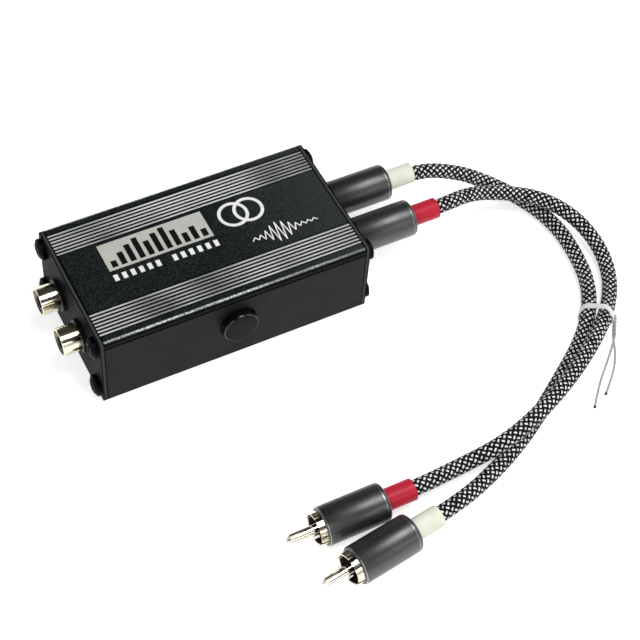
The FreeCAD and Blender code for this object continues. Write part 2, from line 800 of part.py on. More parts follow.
def jack_housing(name, end, side):
    """Moulded block behind the plate, with the round boss that fills the plate's hole."""
    body = new_body(name)
    block = rectangle("0 - housing_width / 2", "housing_width / 2", minus(JACK_ABOVE_BOARD), "housing_top")
    pad_block(body, "block", "YZ_Plane", HOUSING_END, block, "housing_depth")
    boss = new_sketch(body, "boss_circle", "YZ_Plane", "0 - plate_thickness")
    add_circle(boss, "0", "0", "boss_radius")
    pad(body, boss, "boss", "plate_thickness + boss_proud")
    cut_holes(body, "sleeve_socket", "YZ_Plane", "boss_proud", [("0", "0")],
              "sleeve_radius - sleeve_step + snug_fit", "boss_proud - ( %s )" % SOCKET_END)
    cut_holes(body, "stud_hole", "YZ_Plane", SOCKET_END, [("0", "0")], "contact_stud + snug_fit",
              "housing_back")
    half = "leg_size / 2 + snug_fit"
    slot = rectangle("0 - ground_leg_place - ( %s )" % half, "0 - ground_leg_place + %s" % half,
                     minus(half), half)
    cut_block(body, "leg_slot", "XY_Plane", "0", slot, JACK_ABOVE_BOARD)
    place_jack(body, end, side)


def jack_sleeve(name, end, side):
    """Outer contact: a thin tube with a shoulder on the housing's boss and a solder leg."""
    body = new_body(name)
    inner = "sleeve_radius - sleeve_wall"
    section = [
        (SOCKET_END, inner),
        (SOCKET_END, "sleeve_radius - sleeve_step"),
        ("boss_proud", "sleeve_radius - sleeve_step"),
        ("boss_proud", "sleeve_radius"),
        ("sleeve_mouth - sleeve_rim", "sleeve_radius"),
        ("sleeve_mouth", "sleeve_radius - sleeve_rim"),
        ("sleeve_mouth", inner),
    ]
    turn(body, "tube", section)
    leg(body, "solder_leg", "0 - ground_leg_place", "0 - sleeve_radius + sleeve_wall / 2")
    place_jack(body, end, side)


def jack_insulator(name, end, side):
    body = new_body(name)
    section = [
        (SOCKET_END, "contact_radius + snug_fit"),
        (SOCKET_END, "sleeve_radius - sleeve_wall - snug_fit"),
        ("sleeve_mouth - insulator_recess", "sleeve_radius - sleeve_wall - snug_fit"),
        ("sleeve_mouth - insulator_recess", "contact_radius + snug_fit"),
    ]
    turn(body, "tube", section)
    place_jack(body, end, side)


def jack_contact(name, end, side):
    """Centre contact: a tube that takes the plug's pin, closed behind, with a stud and a leg."""
    body = new_body(name)
    bore = "pin_radius + pin_fit"
    closed = "0 - contact_depth - contact_end"
    stud_end = "%s - stud_reach - leg_size / 2" % HOUSING_END
    section = [
        (stud_end, "0"),
        (stud_end, "contact_stud"),
        (closed, "contact_stud"),
        (closed, "contact_radius"),
        ("sleeve_mouth - contact_recess", "contact_radius"),
        ("sleeve_mouth - contact_recess", bore),
        ("0 - contact_depth", bore),
        ("0 - contact_depth", "0"),
    ]
    turn(body, "tube", section)
    leg(body, "solder_leg", HOUSING_END + " - stud_reach", "contact_stud / 2")
    place_jack(body, end, side)


def jack(prefix, end, side):
    jack_housing(prefix + "_jack_housing", end, side)
    jack_sleeve(prefix + "_jack_sleeve", end, side)
    jack_insulator(prefix + "_jack_insulator", end, side)
    jack_contact(prefix + "_jack_contact", end, side)


# Phono plugs, drawn with their axis on X and the ring's front edge at zero

def plug_ring(name, spot):
    """Outer contact: a slotted ring in front, a web, and the shell that the barrel covers."""
    body = new_body(name)
    cavity = "sleeve_radius + ring_fit"
    web_end = "ring_depth + ring_web"
    shell_inside = "shell_length - shell_end"
    section = [
        ("0", cavity + " + ring_lip"),
        ("0", "ring_radius"),
        ("shell_length", "ring_radius"),
        ("shell_length", "core_hole_radius"),
        (shell_inside, "core_hole_radius"),
        (shell_inside, "shell_inner_radius"),
        (web_end, "shell_inner_radius"),
        (web_end, "web_bore_radius"),
        ("ring_depth", "web_bore_radius"),
        ("ring_depth", cavity),
        ("ring_lip", cavity),
    ]
    turn(body, "shell", section)
    window_start = web_end + " + 1.5"
    window = rectangle(window_start, window_start + " + window_length", "0 - window_width / 2",
                       "window_width / 2")
    cut_block(body, "solder_window", "XY_Plane", "0", window, "ring_radius + 1", True)
    half = "ring_slot_width / 2"
    slot = rectangle("-1", "ring_slot_length", minus(half), half)
    first = cut_block(body, "first_slot", "XY_Plane", "0", slot, "ring_radius + 1", True)
    slots = body.newObject("PartDesign::PolarPattern", "slots")
    slots.Originals = [first]
    slots.Axis = (origin_feature(body, "X_Axis"), [""])
    slots.Angle = 360
    slots.setExpression("Occurrences", expression("ring_slots"))
    body.Tip = slots
    place_plug(body, spot)


def plug_insulator(name, spot):
    """Bush that holds the pin in the shell's web, with a lip behind the web."""
    body = new_body(name)
    bore = "pin_radius - pin_step + snug_fit"
    web_end = "ring_depth + ring_web"
    section = [
        ("ring_depth", bore),
        ("ring_depth", "web_bore_radius - snug_fit"),
        (web_end, "web_bore_radius - snug_fit"),
        (web_end, "shell_inner_radius - snug_fit"),
        (web_end + " + insulator_lip", "shell_inner_radius - snug_fit"),
        (web_end + " + insulator_lip", bore),
    ]
    turn(body, "bush", section)
    place_plug(body, spot)


def plug_pin(name, spot):
    """Centre pin, split lengthwise behind a tapered tip, with a shoulder and a solder cup."""
    body = new_body(name)
    section = [
        ("0 - pin_reach", "0"),
        ("0 - pin_reach", "pin_tip_radius"),
        ("0 - pin_reach + pin_tip", "pin_radius"),
        ("ring_depth", "pin_radius"),
        ("ring_depth", "pin_radius - pin_step"),
        ("pin_tail", "pin_radius - pin_step"),
        ("pin_tail", "solder_cup_radius"),
        ("pin_tail - solder_cup_depth", "solder_cup_radius"),
        ("pin_tail - solder_cup_depth", "0"),
    ]
    turn(body, "rod", section)
    slit = rectangle("0 - pin_reach - 1", "0 - pin_reach + pin_slit_length", "0 - pin_slit / 2",
                     "pin_slit / 2")
    cut_block(body, "slit", "XY_Plane", "pin_radius + 1", slit, "2 * pin_radius + 2")
    place_plug(body, spot)


def plug_barrel(name, spot):
    """Screw-on cover, bevelled in front and at the back."""
    body = new_body(name)
    rear = "shell_length + barrel_end"
    bore = "ring_radius + barrel_fit"
    section = [
        ("barrel_start", bore),
        ("barrel_start", "barrel_radius - barrel_chamfer"),
        ("barrel_start + barrel_chamfer", "barrel_radius"),
        (rear + " - barrel_back_bevel", "barrel_radius"),
        (rear, "barrel_radius - barrel_back_bevel"),
        (rear, "collar_radius + collar_fit"),
        ("shell_length", "collar_radius + collar_fit"),
        ("shell_length", bore),
    ]
    turn(body, "barrel", section)
    place_plug(body, spot)


def plug_collar(name, spot):
    """Coloured sleeve round the lead where it enters the barrel."""
    body = new_body(name)
    section = [
        ("shell_length", "collar_radius - collar_wall"),
        ("shell_length", "collar_radius"),
        ("shell_length + collar_length", "collar_radius"),
        ("shell_length + collar_length", "collar_radius - collar_wall"),
    ]
    turn(body, "sleeve", section)
    place_plug(body, spot)


PLUG_SEAT = "case_length / 2 + plate_thickness + boss_proud"
PLUG_SPOTS = {
    "output_left_plug": (PLUG_SEAT, "jack_spread", "jack_height", 0.0),
    "output_right_plug": (PLUG_SEAT, "0 - jack_spread", "jack_height", 0.0),
    "free_white_plug": (WHITE_PLUG[0], WHITE_PLUG[1], "barrel_radius", WHITE_PLUG[2]),
    "free_red_plug": (RED_PLUG[0], RED_PLUG[1], "barrel_radius", RED_PLUG[2]),
}


def place_plug(body, spot):
    x, y, z, turned = PLUG_SPOTS[spot]
    place(body, x, y, z, turned)


def plug(spot):
    plug_ring(spot + "_ring", spot)
    plug_insulator(spot + "_insulator", spot)
    plug_pin(spot + "_pin", spot)
    plug_barrel(spot + "_barrel", spot)
    plug_collar(spot + "_collar", spot)


# Braided leads, each a plain tube along straight runs joined by tangent arcs

def plug_axis(spot):
    turned = math.radians(PLUG_SPOTS[spot][3])
    return FreeCAD.Vector(math.cos(turned), math.sin(turned), 0)


def lead_end(spot):
    """Middle of the shell's rear face, where the lead starts."""
    x, y, z, turned = PLUG_SPOTS[spot]
    return FreeCAD.Vector(size(x), size(y), size(z)) + plug_axis(spot) * size("shell_length")


def lead_points(near_spot, middle, far_spot, far_run):
    start = lead_end(near_spot)
    finish = lead_end(far_spot)
    second = start + plug_axis(near_spot) * size("lead_first_run")
    last_but_one = finish + plug_axis(far_spot) * size(far_run)
    return [start, second] + [FreeCAD.Vector(*point) for point in middle] + [last_but_one, finish]


def tangent_path(points, label):
    """Straight runs through the points, each corner rounded by the largest arc its runs allow."""
    edges = []
    radii = []
    here = points[0]
    for before, corner, after in zip(points, points[1:], points[2:]):
        back = before - corner
        ahead = after - corner
        shorter = min(back.Length, ahead.Length)
        back.normalize()
        ahead.normalize()
        half_turn = (math.pi - back.getAngle(ahead)) / 2
        trim = 0.45 * shorter
        radius = trim / math.tan(half_turn)
        radii.append(radius)
        start = corner + back * trim
        end = corner + ahead * trim
        inward = (back + ahead).normalize()
        middle = corner + inward * (radius / math.cos(half_turn) - radius)
        edges.append(Part.LineSegment(here, start).toShape())
        edges.append(Part.Arc(start, middle, end).toShape())
        here = end
    edges.append(Part.LineSegment(here, points[-1]).toShape())
    print(label, "bend radii", " ".join("%.1f" % radius for radius in radii))
    return Part.Wire(edges)


def tube_along(path, points, radius):
    way = points[1] - points[0]
    circle = Part.Circle(points[0], way, radius)
    section = Part.Wire([circle.toShape()])
    return path.makePipeShell([section], True, False)


def soft_node(name, shape):
    feature = doc.addObject("Part::Feature", name)
    feature.Shape = shape
    feature.Label = name
    nodes.append(feature)


def lead(name, points):
    path = tangent_path(points, name)
    radius = size("lead_radius")
    tube = tube_along(path, points, radius)
    expected = math.pi * radius ** 2 * path.Length
    print(name, "length %.1f" % path.Length, "volume share %.4f" % (tube.Volume / expected))
    soft_node(name, tube)
    swept_runs[name] = path


def nearest(path, spot):
    """Point of a path that is nearest to a spot, and the path's direction there."""
    distance, pairs, _ = path.distToShape(Part.Vertex(spot))
    point = pairs[0][0]
    for edge in path.Edges:
        if edge.distToShape(Part.Vertex(point))[0] < 1e-4:
            return point, edge.tangentAt(edge.Curve.parameter(point))
    raise RuntimeError("no edge at %s" % point)


def loop_round(first, second, along, radius):
    """Closed wire round two circles of one radius, square to a direction."""
    across = (second - first).normalize()
    side = along.cross(across).normalize()
    out = across * radius
    up = side * radius
    edges = [
        Part.LineSegment(first + up, second + up).toShape(),
        Part.Arc(second + up, second + out, second - up).toShape(),
        Part.LineSegment(second - up, first - up).toShape(),
        Part.Arc(first - up, first - out, first + up).toShape(),
    ]
    return Part.Wire(edges)


def square_rod(here, there, thickness):
    """Straight rod of square section between two points."""
    way = there - here
    box = Part.makeBox(thickness, thickness, way.Length, FreeCAD.Vector(-thickness / 2, -thickness / 2, 0))
    turned = FreeCAD.Rotation(FreeCAD.Vector(0, 0, 1), way)
    box.Placement = FreeCAD.Placement(here, turned).multiply(box.Placement)
    return box


def cord_tie():
    """Twisted tie: a band round both leads, a twist beside them and two loose tails."""
    spot = FreeCAD.Vector(*TIE_PLACE)
    white_point, white_way = nearest(swept_runs["white_lead"], spot)
    red_point, red_way = nearest(swept_runs["red_lead"], spot)
    across = (red_point - white_point).normalize()
    along = white_way + red_way
    along = (along - across * along.dot(across)).normalize()
    inner_radius = size("lead_radius + tie_fit")
    outer_radius = inner_radius + size("tie_thickness")
    start = along * (-size("tie_width") / 2)
    outer = loop_round(white_point + start, red_point + start, along, outer_radius)
    inner = loop_round(white_point + start, red_point + start, along, inner_radius)
    solid = Part.Face([outer]).extrude(along * size("tie_width"))
    hole = Part.Face([inner]).extrude(along * size("tie_width"))
    band = solid.cut(hole)
    twist_width = size("tie_twist_width")
    twist_start = red_point + across * (outer_radius + twist_width / 4)
    twist_end = FreeCAD.Vector(*TIE_TWIST_END)
    pieces = [square_rod(twist_start, twist_end, twist_width)]
    for tail in TIE_TAILS:
        here = twist_end
        for thickness, point in tail:
            there = FreeCAD.Vector(*point)
            pieces.append(square_rod(here, there, thickness))
            here = there
    soft_node("cord_tie", band.multiFuse(pieces))


def build():
    fill_sheet()
    case_base()
    case_cover()
    end_plate("input_plate", INPUT_END)
    end_plate("output_plate", OUTPUT_END)
    plate_screws("input_plate_screws", INPUT_END)
    plate_screws("output_plate_screws", OUTPUT_END)
    circuit_board()
    for prefix, side in (("left", LEFT), ("right", RIGHT)):
        transformer(prefix, side)
    switch_body()
    pin_group("switch_pins", switch_pin_places(), BOARD_TOP)
    switch_plunger()
    button_cap()
    for prefix, end in (("input", INPUT_END), ("output", OUTPUT_END)):
        jack(prefix + "_left", end, LEFT)
        jack(prefix + "_right", end, RIGHT)
    for spot in PLUG_SPOTS:
        plug(spot)
    lead("white_lead", lead_points("output_left_plug", WHITE_ROUTE, "free_white_plug", "white_last_run"))
    lead("red_lead", lead_points("output_right_plug", RED_ROUTE, "free_red_plug", "red_last_run"))
    cord_tie()
    doc.recompute()


def check():
    for item in doc.Objects:
        if "Invalid" in item.State or "Error" in item.State:
            raise RuntimeError("%s failed to build" % item.Label)
    for node in nodes:
        if node.Shape.isNull() or not node.Shape.isValid():
            raise RuntimeError("%s has no valid shape" % node.Label)


def export():
    os.makedirs("parts", exist_ok=True)
    for node in nodes:
        node.Shape.exportStep("parts/%s.step" % node.Label)
    print(len(nodes), "nodes written")


build()
check()
export()
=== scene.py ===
import math

import bmesh
import bpy
from mathutils import Matrix, Vector


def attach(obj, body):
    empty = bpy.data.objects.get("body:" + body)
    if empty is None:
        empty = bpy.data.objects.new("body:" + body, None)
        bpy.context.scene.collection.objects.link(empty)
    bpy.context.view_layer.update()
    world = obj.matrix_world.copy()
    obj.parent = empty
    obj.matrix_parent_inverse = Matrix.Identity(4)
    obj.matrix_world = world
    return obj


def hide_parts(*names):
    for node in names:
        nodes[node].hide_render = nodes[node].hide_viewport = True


# Ground loop isolator with its pair of braided patch leads. Sizes are in millimetres and
# become metres by MM, because the frame is in metres.
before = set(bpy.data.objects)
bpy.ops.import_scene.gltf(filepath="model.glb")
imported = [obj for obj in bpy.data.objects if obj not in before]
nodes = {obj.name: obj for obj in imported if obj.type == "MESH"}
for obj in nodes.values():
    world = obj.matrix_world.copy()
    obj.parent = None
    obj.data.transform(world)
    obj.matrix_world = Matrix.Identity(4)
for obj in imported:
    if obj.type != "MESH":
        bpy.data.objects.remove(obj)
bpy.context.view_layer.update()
MM = 0.001

# Case. The painted highlight line and the painted shade on a long top edge are shares of the round, from
# the flat.
CASE_TOP = 26.0
CASE_HALF_WIDTH = 22.5
CASE_END = 40.0
PLATE_THICKNESS = 1.5
EDGE_RADIUS = 1.2
ROUND_HIGHLIGHT_PLACE = 0.42
ROUND_HIGHLIGHT_REACH = 0.34
ROUND_SHADE = (0.66, 0.86)
# The end plates' rims carry a painted highlight, a pale line along their middle.
RIM_HIGHLIGHT_REACH = 0.45
RIM_HIGHLIGHT_CORE = 0.2
# A painted shade line lies in each seam where the end plates meet the case, in this black.
JOINT_WIDTH = 0.44
SHADE_BLACK = (0.001, 0.001, 0.001)
RIB_COUNT = 7
RIB_PITCH = 1.2
RIB_WIDTH = 0.55
RIB_TIP_DEPTH = 0.05
FIRST_RIB = 11.65
BUTTON_FACE_DEPTH = 0.12

# Change of the top toward the output end: where it starts, and what the flat's grey and the bare metal
# come to at the output end. The painted highlight specks are shares of bare metal, and bare metal is less
# rough than black.
OUTPUT_FADE_START = 4.0
OUTPUT_END_GREY = 0.4
OUTPUT_END_METAL = 0.4
FAINTEST_SPECK = 0.15
FAINTEST_STRETCH = 0.5
BARE_METALLIC = 0.35
BARE_SMOOTHNESS = 0.12

# Printed marks on the top. A field is its left, right, front and back.
PRINT_THICKNESS = 0.02
THIN_PRINT = 0.012
METER_FIELD = (-28.9, 3.0, 0.3, 10.3)
METER_LEVELS = (2.4, 4.6, 6.4, 7.8, 5.4, 7.2, 8.2, 6.0, 3.6, 5.0, 2.8)
METER_MARGIN = 0.9
METER_BAR_SHARE = 0.62
TICK_FIELD = (-28.7, 3.1, -3.6, -1.3)
TICKS = 13
TICK_WIDTH = 1.3
HOOP_PLACES = ((11.3, 5.3), (16.1, 5.3))
HOOP_RADIUS = 4.1
HOOP_STROKE = 1.0
HOOP_STEPS = 64

# Printed wave. The place and the spread of its swell are shares of its strokes.
WAVE_FIELD = (12.2, 32.7, -9.5, -2.2)
WAVE_STROKES = 22
WAVE_STROKE_WIDTH = 0.34
WAVE_SWELL_PLACE = 0.42
WAVE_SWELL_SPREAD = 0.2
WAVE_LEAST = 0.12

# Meshes. Corners closer than the merge reach become one, and edges over the crisp angle, in
# degrees, stay crisp.
MERGE_REACH = 0.001
CRISP_ANGLE = 30.0
BARREL_CRISP_ANGLE = 50.0
SPLINE_ORDER = 3
TUBE_ROUNDNESS = 2
BALL_ROUNDNESS = 2

# Plug barrel, measured behind the ring's front edge
BARREL_START = 2.05
BARREL_REAR = 20.85
BARREL_BORE = 4.75
BARREL_RADIUS = 5.55
BARREL_CHAMFER = 0.35
# The bright bevel and the bright line are painted highlights, bands of paler metal that also reflect the
# lamps.
BRIGHT_BEVEL = 0.15
BARREL_ROUNDING = 0.9
BARREL_SEAT = 19.35
BARREL_STEPS = 96
ROUNDING_STEPS = 6
COLLAR_BORE = 3.2
BRIGHT_LINE = (19.5, 19.66)

# Plug ring. A face this close to the axis that hardly looks outwards is part of its inside, which is
# painted shade, near black.
RING_INSIDE_RADIUS = 4.2
LOOKS_OUTWARDS = 0.1

# Plugs: middle of the ring's front edge, and the turn of the plug about the upright
PLUG_PLACES = {
    "output_left_plug": ((42.6, 7.87, 13.8), 0.0),
    "output_right_plug": ((42.6, -7.87, 13.8), 0.0),
    "free_white_plug": ((-5.94, -102.01, 5.55), 8.18),
    "free_red_plug": ((-8.5, -87.5, 5.55), 0.0),
}
LEAD_START = 19.35
FIRST_RUN = 12.85
RED_LAST_RUN = 12.85
WHITE_LAST_RUN = 15.4

# Leads: the points of the routes between the plugs
LEAD_DIAMETER = 4.7
ROUTE_STEPS = 24
WHITE_ROUTE = [
    (86.8, 5.4, 10.2),
    (95.0, 2.0, 6.3),
    (102.0, -4.5, 3.6),
    (107.0, -13.0, 2.4),
    (109.0, -23.2, 2.4),
    (108.2, -34.0, 2.4),
    (105.7, -44.6, 2.7),
    (99.8, -54.6, 3.3),
    (91.4, -63.1, 2.6),
    (80.6, -70.5, 2.4),
    (69.0, -78.3, 2.4),
    (56.3, -85.8, 2.4),
    (42.7, -92.0, 3.0),
]
RED_ROUTE = [
    (86.8, -5.0, 10.8),
    (97.7, -7.1, 8.2),
    (107.4, -13.1, 7.6),
    (114.0, -22.3, 5.7),
    (116.2, -33.3, 3.5),
    (113.8, -44.4, 2.4),
    (106.9, -54.5, 3.0),
    (97.4, -63.2, 6.1),
    (86.0, -71.2, 7.2),
    (73.6, -78.1, 8.0),
    (60.9, -83.6, 8.1),
    (48.6, -86.5, 7.1),
    (36.3, -85.8, 3.7),
]

# Braid of a lead. A fleck's half length is a share of the way between crossings, and its half
# width a share of the strand's width.
STRANDS_EACH_WAY = 8
STRAND_LAY = 16.4
STRAND_WIDTH = 1.34
STRAND_THICKNESS = 0.42
STRAND_LIFT = 0.13
STRAND_MIDDLE_RADIUS = LEAD_DIAMETER / 2 - STRAND_THICKNESS / 2 - STRAND_LIFT
STRAND_MAP = "strand"
ROWS_A_CROSSING = 6
CORE_STEP = 1.2
CORE_CORNERS = 16
# Half section of a strand, from 1 at its edge
STRAND_SECTION = [(-1, -0.2), (-0.62, 0.7), (-0.3, 1), (0.3, 1), (0.62, 0.7), (1, -0.2), (0, -0.8)]
FLECK_HALF_LENGTH = 0.17
FLECK_HALF_WIDTH = 0.21
FLECK_SQUARENESS = 4.0
FLECK_FRAY = 0.5
FLECK_WEAR = 0.9
FLECK_BLUR = (-0.15, 0.25)

# Tie round both leads, with a twist beside them and two tails
TIE_PLACE = (100.7, -56.8, 3.3)
TIE_TWIST_END = (102.6, -64.2, 1.5)
TIE_TAILS = [
    [(96.6, -70.6, 0.9), (89.0, -77.2, 0.8), (83.8, -83.2, 0.6)],
    [(99.4, -70.2, 0.9), (94.9, -75.9, 0.8), (89.2, -80.7, 0.6)],
]
TIE_WIDTH = 1.9
TIE_THICKNESS = 0.3
TIE_FIT = 0.1
TIE_ARCH = 2.4
TIE_CORNERS = 40
TIE_TURNS = 2.5
TIE_TWIST_STEPS = 14
TIE_TWIST_RADIUS = 0.432
TIE_WIRE_RADIUS = 0.36
TIE_WIRE_STEPS = 6
TIE_END_RADIUS = 0.5

# Camera
CAMERA_PLACE = (-128.57, -281.64, 391.25)
CAMERA_AIM = (26.91, -22.07, 0.0)
CAMERA_ROLL = 4.87
CAMERA_LENS = 94.68
CAMERA_SENSOR = 36.0
CAMERA_NEAREST = 10.0
CAMERA_FARTHEST = 20000.0

# Lights: the place, width, height and watts of each softbox, and the spot that they all face
SOFTBOXES = {
    "overhead_softbox": ((150, -150, 640), 300, 260, 2.6),
    "front_softbox": ((-420, -420, 330), 360, 320, 0.9),
    "low_softbox": ((180, -600, 330), 420, 160, 0.6),
    "side_softbox": ((520, -160, 300), 300, 360, 1.0),
}
LIT_SPOT = (40, -40, 10)

# Floor and room. What metal shows of the room gets darker from one upward slope to another.
FLOOR_HALF_WIDTH = 3000.0
FLOOR_GLOW = 0.6
ROOM_LIGHT = 0.35
DARK_CEILING = 0.96
CEILING_SLOPES = (0.05, 0.4)


# Camera and lights

def turn_towards(place, aim, roll=0.0):
    """Rotation of a camera or lamp at place that looks at aim, rolled by some degrees."""
    back = (Vector(place) - Vector(aim)).normalized()
    right = Vector((0, 0, 1)).cross(back).normalized()
    upright = back.cross(right)
    level = Matrix((right, upright, back)).transposed()
    return (level @ Matrix.Rotation(math.radians(roll), 3, "Z")).to_4x4()


def add_camera():
    lens = bpy.data.cameras.new("photo_camera")
    lens.lens = CAMERA_LENS
    lens.sensor_width = CAMERA_SENSOR
    lens.clip_start = CAMERA_NEAREST * MM
    lens.clip_end = CAMERA_FARTHEST * MM
    camera = bpy.data.objects.new("photo_camera", lens)
    bpy.context.scene.collection.objects.link(camera)
    turned = turn_towards(CAMERA_PLACE, CAMERA_AIM, CAMERA_ROLL)
    camera.matrix_world = Matrix.Translation(Vector(CAMERA_PLACE) * MM) @ turned
    bpy.context.scene.camera = camera


def add_softbox(name, place, width, height, watts):
    light = bpy.data.lights.new(name, "AREA")
    light.shape = "RECTANGLE"
    light.size = width * MM
    light.size_y = height * MM
    light.energy = watts
    softbox = bpy.data.objects.new(name, light)
    bpy.context.scene.collection.objects.link(softbox)
    softbox.matrix_world = Matrix.Translation(Vector(place) * MM) @ turn_towards(place, LIT_SPOT)


def add_lights():
    for name, (place, width, height, watts) in SOFTBOXES.items():
        add_softbox(name, place, width, height, watts)


# Material nodes

def new_material(name, colour, roughness, metallic=0.0):
    made = bpy.data.materials.new(name)
    made.use_nodes = True
    shader = made.node_tree.nodes["Principled BSDF"]
    shader.inputs["Base Color"].default_value = (*colour, 1.0)
    shader.inputs["Roughness"].default_value = roughness
    shader.inputs["Metallic"].default_value = metallic
    return made, shader


def add_node(made, kind, **values):
    node = made.node_tree.nodes.new("ShaderNode" + kind)
    for socket, value in values.items():
        node.inputs[socket.replace("_", " ")].default_value = value
    return node


def join(made, output, socket):
    made.node_tree.links.new(output, socket)


def calculate(made, operation, first, second=0.0, third=0.0):
    """A Math node whose inputs are outputs of other nodes or plain numbers."""
    node = made.node_tree.nodes.new("ShaderNodeMath")
    node.operation = operation
    for socket, value in zip(node.inputs, (first, second, third)):
        if isinstance(value, (int, float)):
            socket.default_value = value
        else:
            join(made, value, socket)
    return node.outputs[0]


def product(made, *factors):
    """Numbers multiplied together, of which the first is an output."""
    whole = factors[0]
    for factor in factors[1:]:
        whole = calculate(made, "MULTIPLY", whole, factor)
    return whole


def distance_from(made, value, middle):
    """How far a value lies from a middle, on either side."""
    return calculate(made, "ABSOLUTE", calculate(made, "SUBTRACT", value, middle))


def spread(made, value, low, high):
    """0 at low, 1 at high and evenly between, held at 0 and 1 beyond them. low may be the larger."""
    node = add_node(made, "MapRange", From_Min=low, From_Max=high)
    join(made, value, node.inputs["Value"])
    return node.outputs["Result"]


def blend_numbers(made, factor, first, second):
    """first where the factor is 0 and second where it is 1."""
    return calculate(made, "MULTIPLY_ADD", factor, second - first, first)


def blend_colours(made, factor, first, second):
    """The first colour where the factor is 0 and the second where it is 1."""
    mix = made.node_tree.nodes.new("ShaderNodeMix")
    mix.data_type = "RGBA"
    colour_sockets = [socket for socket in mix.inputs if socket.type == "RGBA"]
    for socket, value in zip(colour_sockets, (first, second)):
        if isinstance(value, tuple):
            socket.default_value = (*value, 1.0)
        else:
            join(made, value, socket)
    join(made, factor, mix.inputs["Factor"])
    return next(socket for socket in mix.outputs if socket.type == "RGBA")


def object_place(made):
    return add_node(made, "TexCoord").outputs["Object"]


def axes_of(made, place):
    """The X, Y and Z of a place."""
    axes = add_node(made, "SeparateXYZ")
    join(made, place, axes.inputs[0])
    return axes.outputs


def stretched(made, place, stretch):
    mapping = add_node(made, "Mapping", Scale=stretch)
    join(made, place, mapping.inputs["Vector"])
    return mapping.outputs["Vector"]


def noise(made, scale, detail=3.0, roughness=0.6, stretch=None):
    """Noise in the object's own space. The scale is in features a metre."""
    place = object_place(made)
    if stretch:
        place = stretched(made, place, stretch)
    texture = add_node(made, "TexNoise", Scale=scale, Detail=detail, Roughness=roughness)
    join(made, place, texture.inputs["Vector"])
    return texture.outputs["Fac"]


def raise_surface(made, shader, height, strength, distance):
    bump = add_node(made, "Bump", Strength=strength, Distance=distance * MM)
    join(made, height, bump.inputs["Height"])
    join(made, bump.outputs["Normal"], shader.inputs["Normal"])


# Kinds of finish

def anodised_black(name, dark, pale, roughness, gloss, grains=5200.0, bump=0.35):
    """Bead-blasted black anodised aluminium: fine pale specks and a soft sheen.

    The outputs that colour and roughen it are given back too, for finishes that add to them.
    """
    made, shader = new_material(name, dark, roughness)
    shader.inputs["Specular IOR Level"].default_value = gloss
    grain = spread(made, noise(made, grains, detail=2.0), 0.42, 0.72)
    cloud = spread(made, noise(made, 160.0), 0.3, 0.7)
    colour = blend_colours(made, grain, dark, pale)
    rough = blend_numbers(made, cloud, roughness, roughness + 0.08)
    join(made, colour, shader.inputs["Base Color"])
    join(made, rough, shader.inputs["Roughness"])
    raise_surface(made, shader, grain, bump, 0.03)
    return made, shader, colour, rough


def smooth_plastic(name, colour, roughness, gloss=0.3, bump=0.15):
    """Moulded plastic or lacquer with a faint orange peel and a slight change of tone."""
    made, shader = new_material(name, colour, roughness)
    shader.inputs["Specular IOR Level"].default_value = gloss
    tone = spread(made, noise(made, 220.0), 0.3, 0.7)
    lighter = tuple(part * 1.06 + 0.002 for part in colour)
    darker = tuple(part * 0.92 for part in colour)
    join(made, blend_colours(made, tone, darker, lighter), shader.inputs["Base Color"])
    raise_surface(made, shader, noise(made, 2600.0), bump, 0.02)
    return made


def bright_metal(name, colour, tarnish, roughness):
    """Plated metal with fine turning lines and a slight tarnish."""
    made, shader = new_material(name, colour, roughness, metallic=1.0)
    stain = spread(made, noise(made, 380.0, detail=4.0), 0.45, 0.8)
    join(made, blend_colours(made, stain, colour, tarnish), shader.inputs["Base Color"])
    lines = spread(made, noise(made, 2400.0, detail=2.0, roughness=0.5, stretch=(6.0, 0.5, 0.5)), 0.3, 0.7)
    join(made, blend_numbers(made, lines, roughness, roughness + 0.1), shader.inputs["Roughness"])
    return made


# Finishes of the case

def shade_at_joints(made, colour):
    """A colour with a painted shade line, black, in the seam where the end plates meet the case."""
    past_middle = calculate(made, "ABSOLUTE", axes_of(made, object_place(made))["X"])
    from_joint = distance_from(made, past_middle, CASE_END * MM)
    at_joint = calculate(made, "LESS_THAN", from_joint, JOINT_WIDTH / 2 * MM)
    return blend_colours(made, at_joint, colour, SHADE_BLACK)


def rib_tips(made, axes):
    """1 on the tips of the ribs and 0 elsewhere."""
    from_middle = calculate(made, "ABSOLUTE", axes["Y"])
    rib = calculate(made, "MULTIPLY_ADD", from_middle, 1 / (RIB_PITCH * MM), -FIRST_RIB / RIB_PITCH)
    on_rib = calculate(made, "LESS_THAN", calculate(made, "FRACT", rib), RIB_WIDTH / RIB_PITCH)
    past_first = calculate(made, "GREATER_THAN", rib, 0.0)
    before_last = calculate(made, "LESS_THAN", rib, RIB_COUNT)
    on_top = calculate(made, "GREATER_THAN", axes["Z"], (CASE_TOP - RIB_TIP_DEPTH) * MM)
    return product(made, on_rib, past_first, before_last, on_top)


def bare_metal(made, undimmed):
    """Cut aluminium, with scratches along the ribs and bright broad patches that fade as undimmed falls
    toward the output end.
    """
    lines = noise(made, 900.0, detail=4.0, roughness=0.7, stretch=(0.08, 6.0, 1.0))
    scratches = spread(made, lines, 0.3, 0.75)
    scratched = blend_colours(made, scratches, (0.72, 0.73, 0.73), (0.96, 0.97, 0.97))
    bright_patches = product(made, spread(made, noise(made, 26.0, detail=2.0), 0.36, 0.52), undimmed)
    return blend_colours(made, bright_patches, (0.30, 0.31, 0.31), scratched)


def share_of_round(made, axes):
    """How far over a long top round a place lies, from 0 at the flat to 1 at the side."""
    from_middle = calculate(made, "ABSOLUTE", axes["Y"])
    round_start = CASE_HALF_WIDTH - EDGE_RADIUS
    return calculate(made, "MULTIPLY_ADD", from_middle, 1 / (EDGE_RADIUS * MM), -round_start / EDGE_RADIUS)


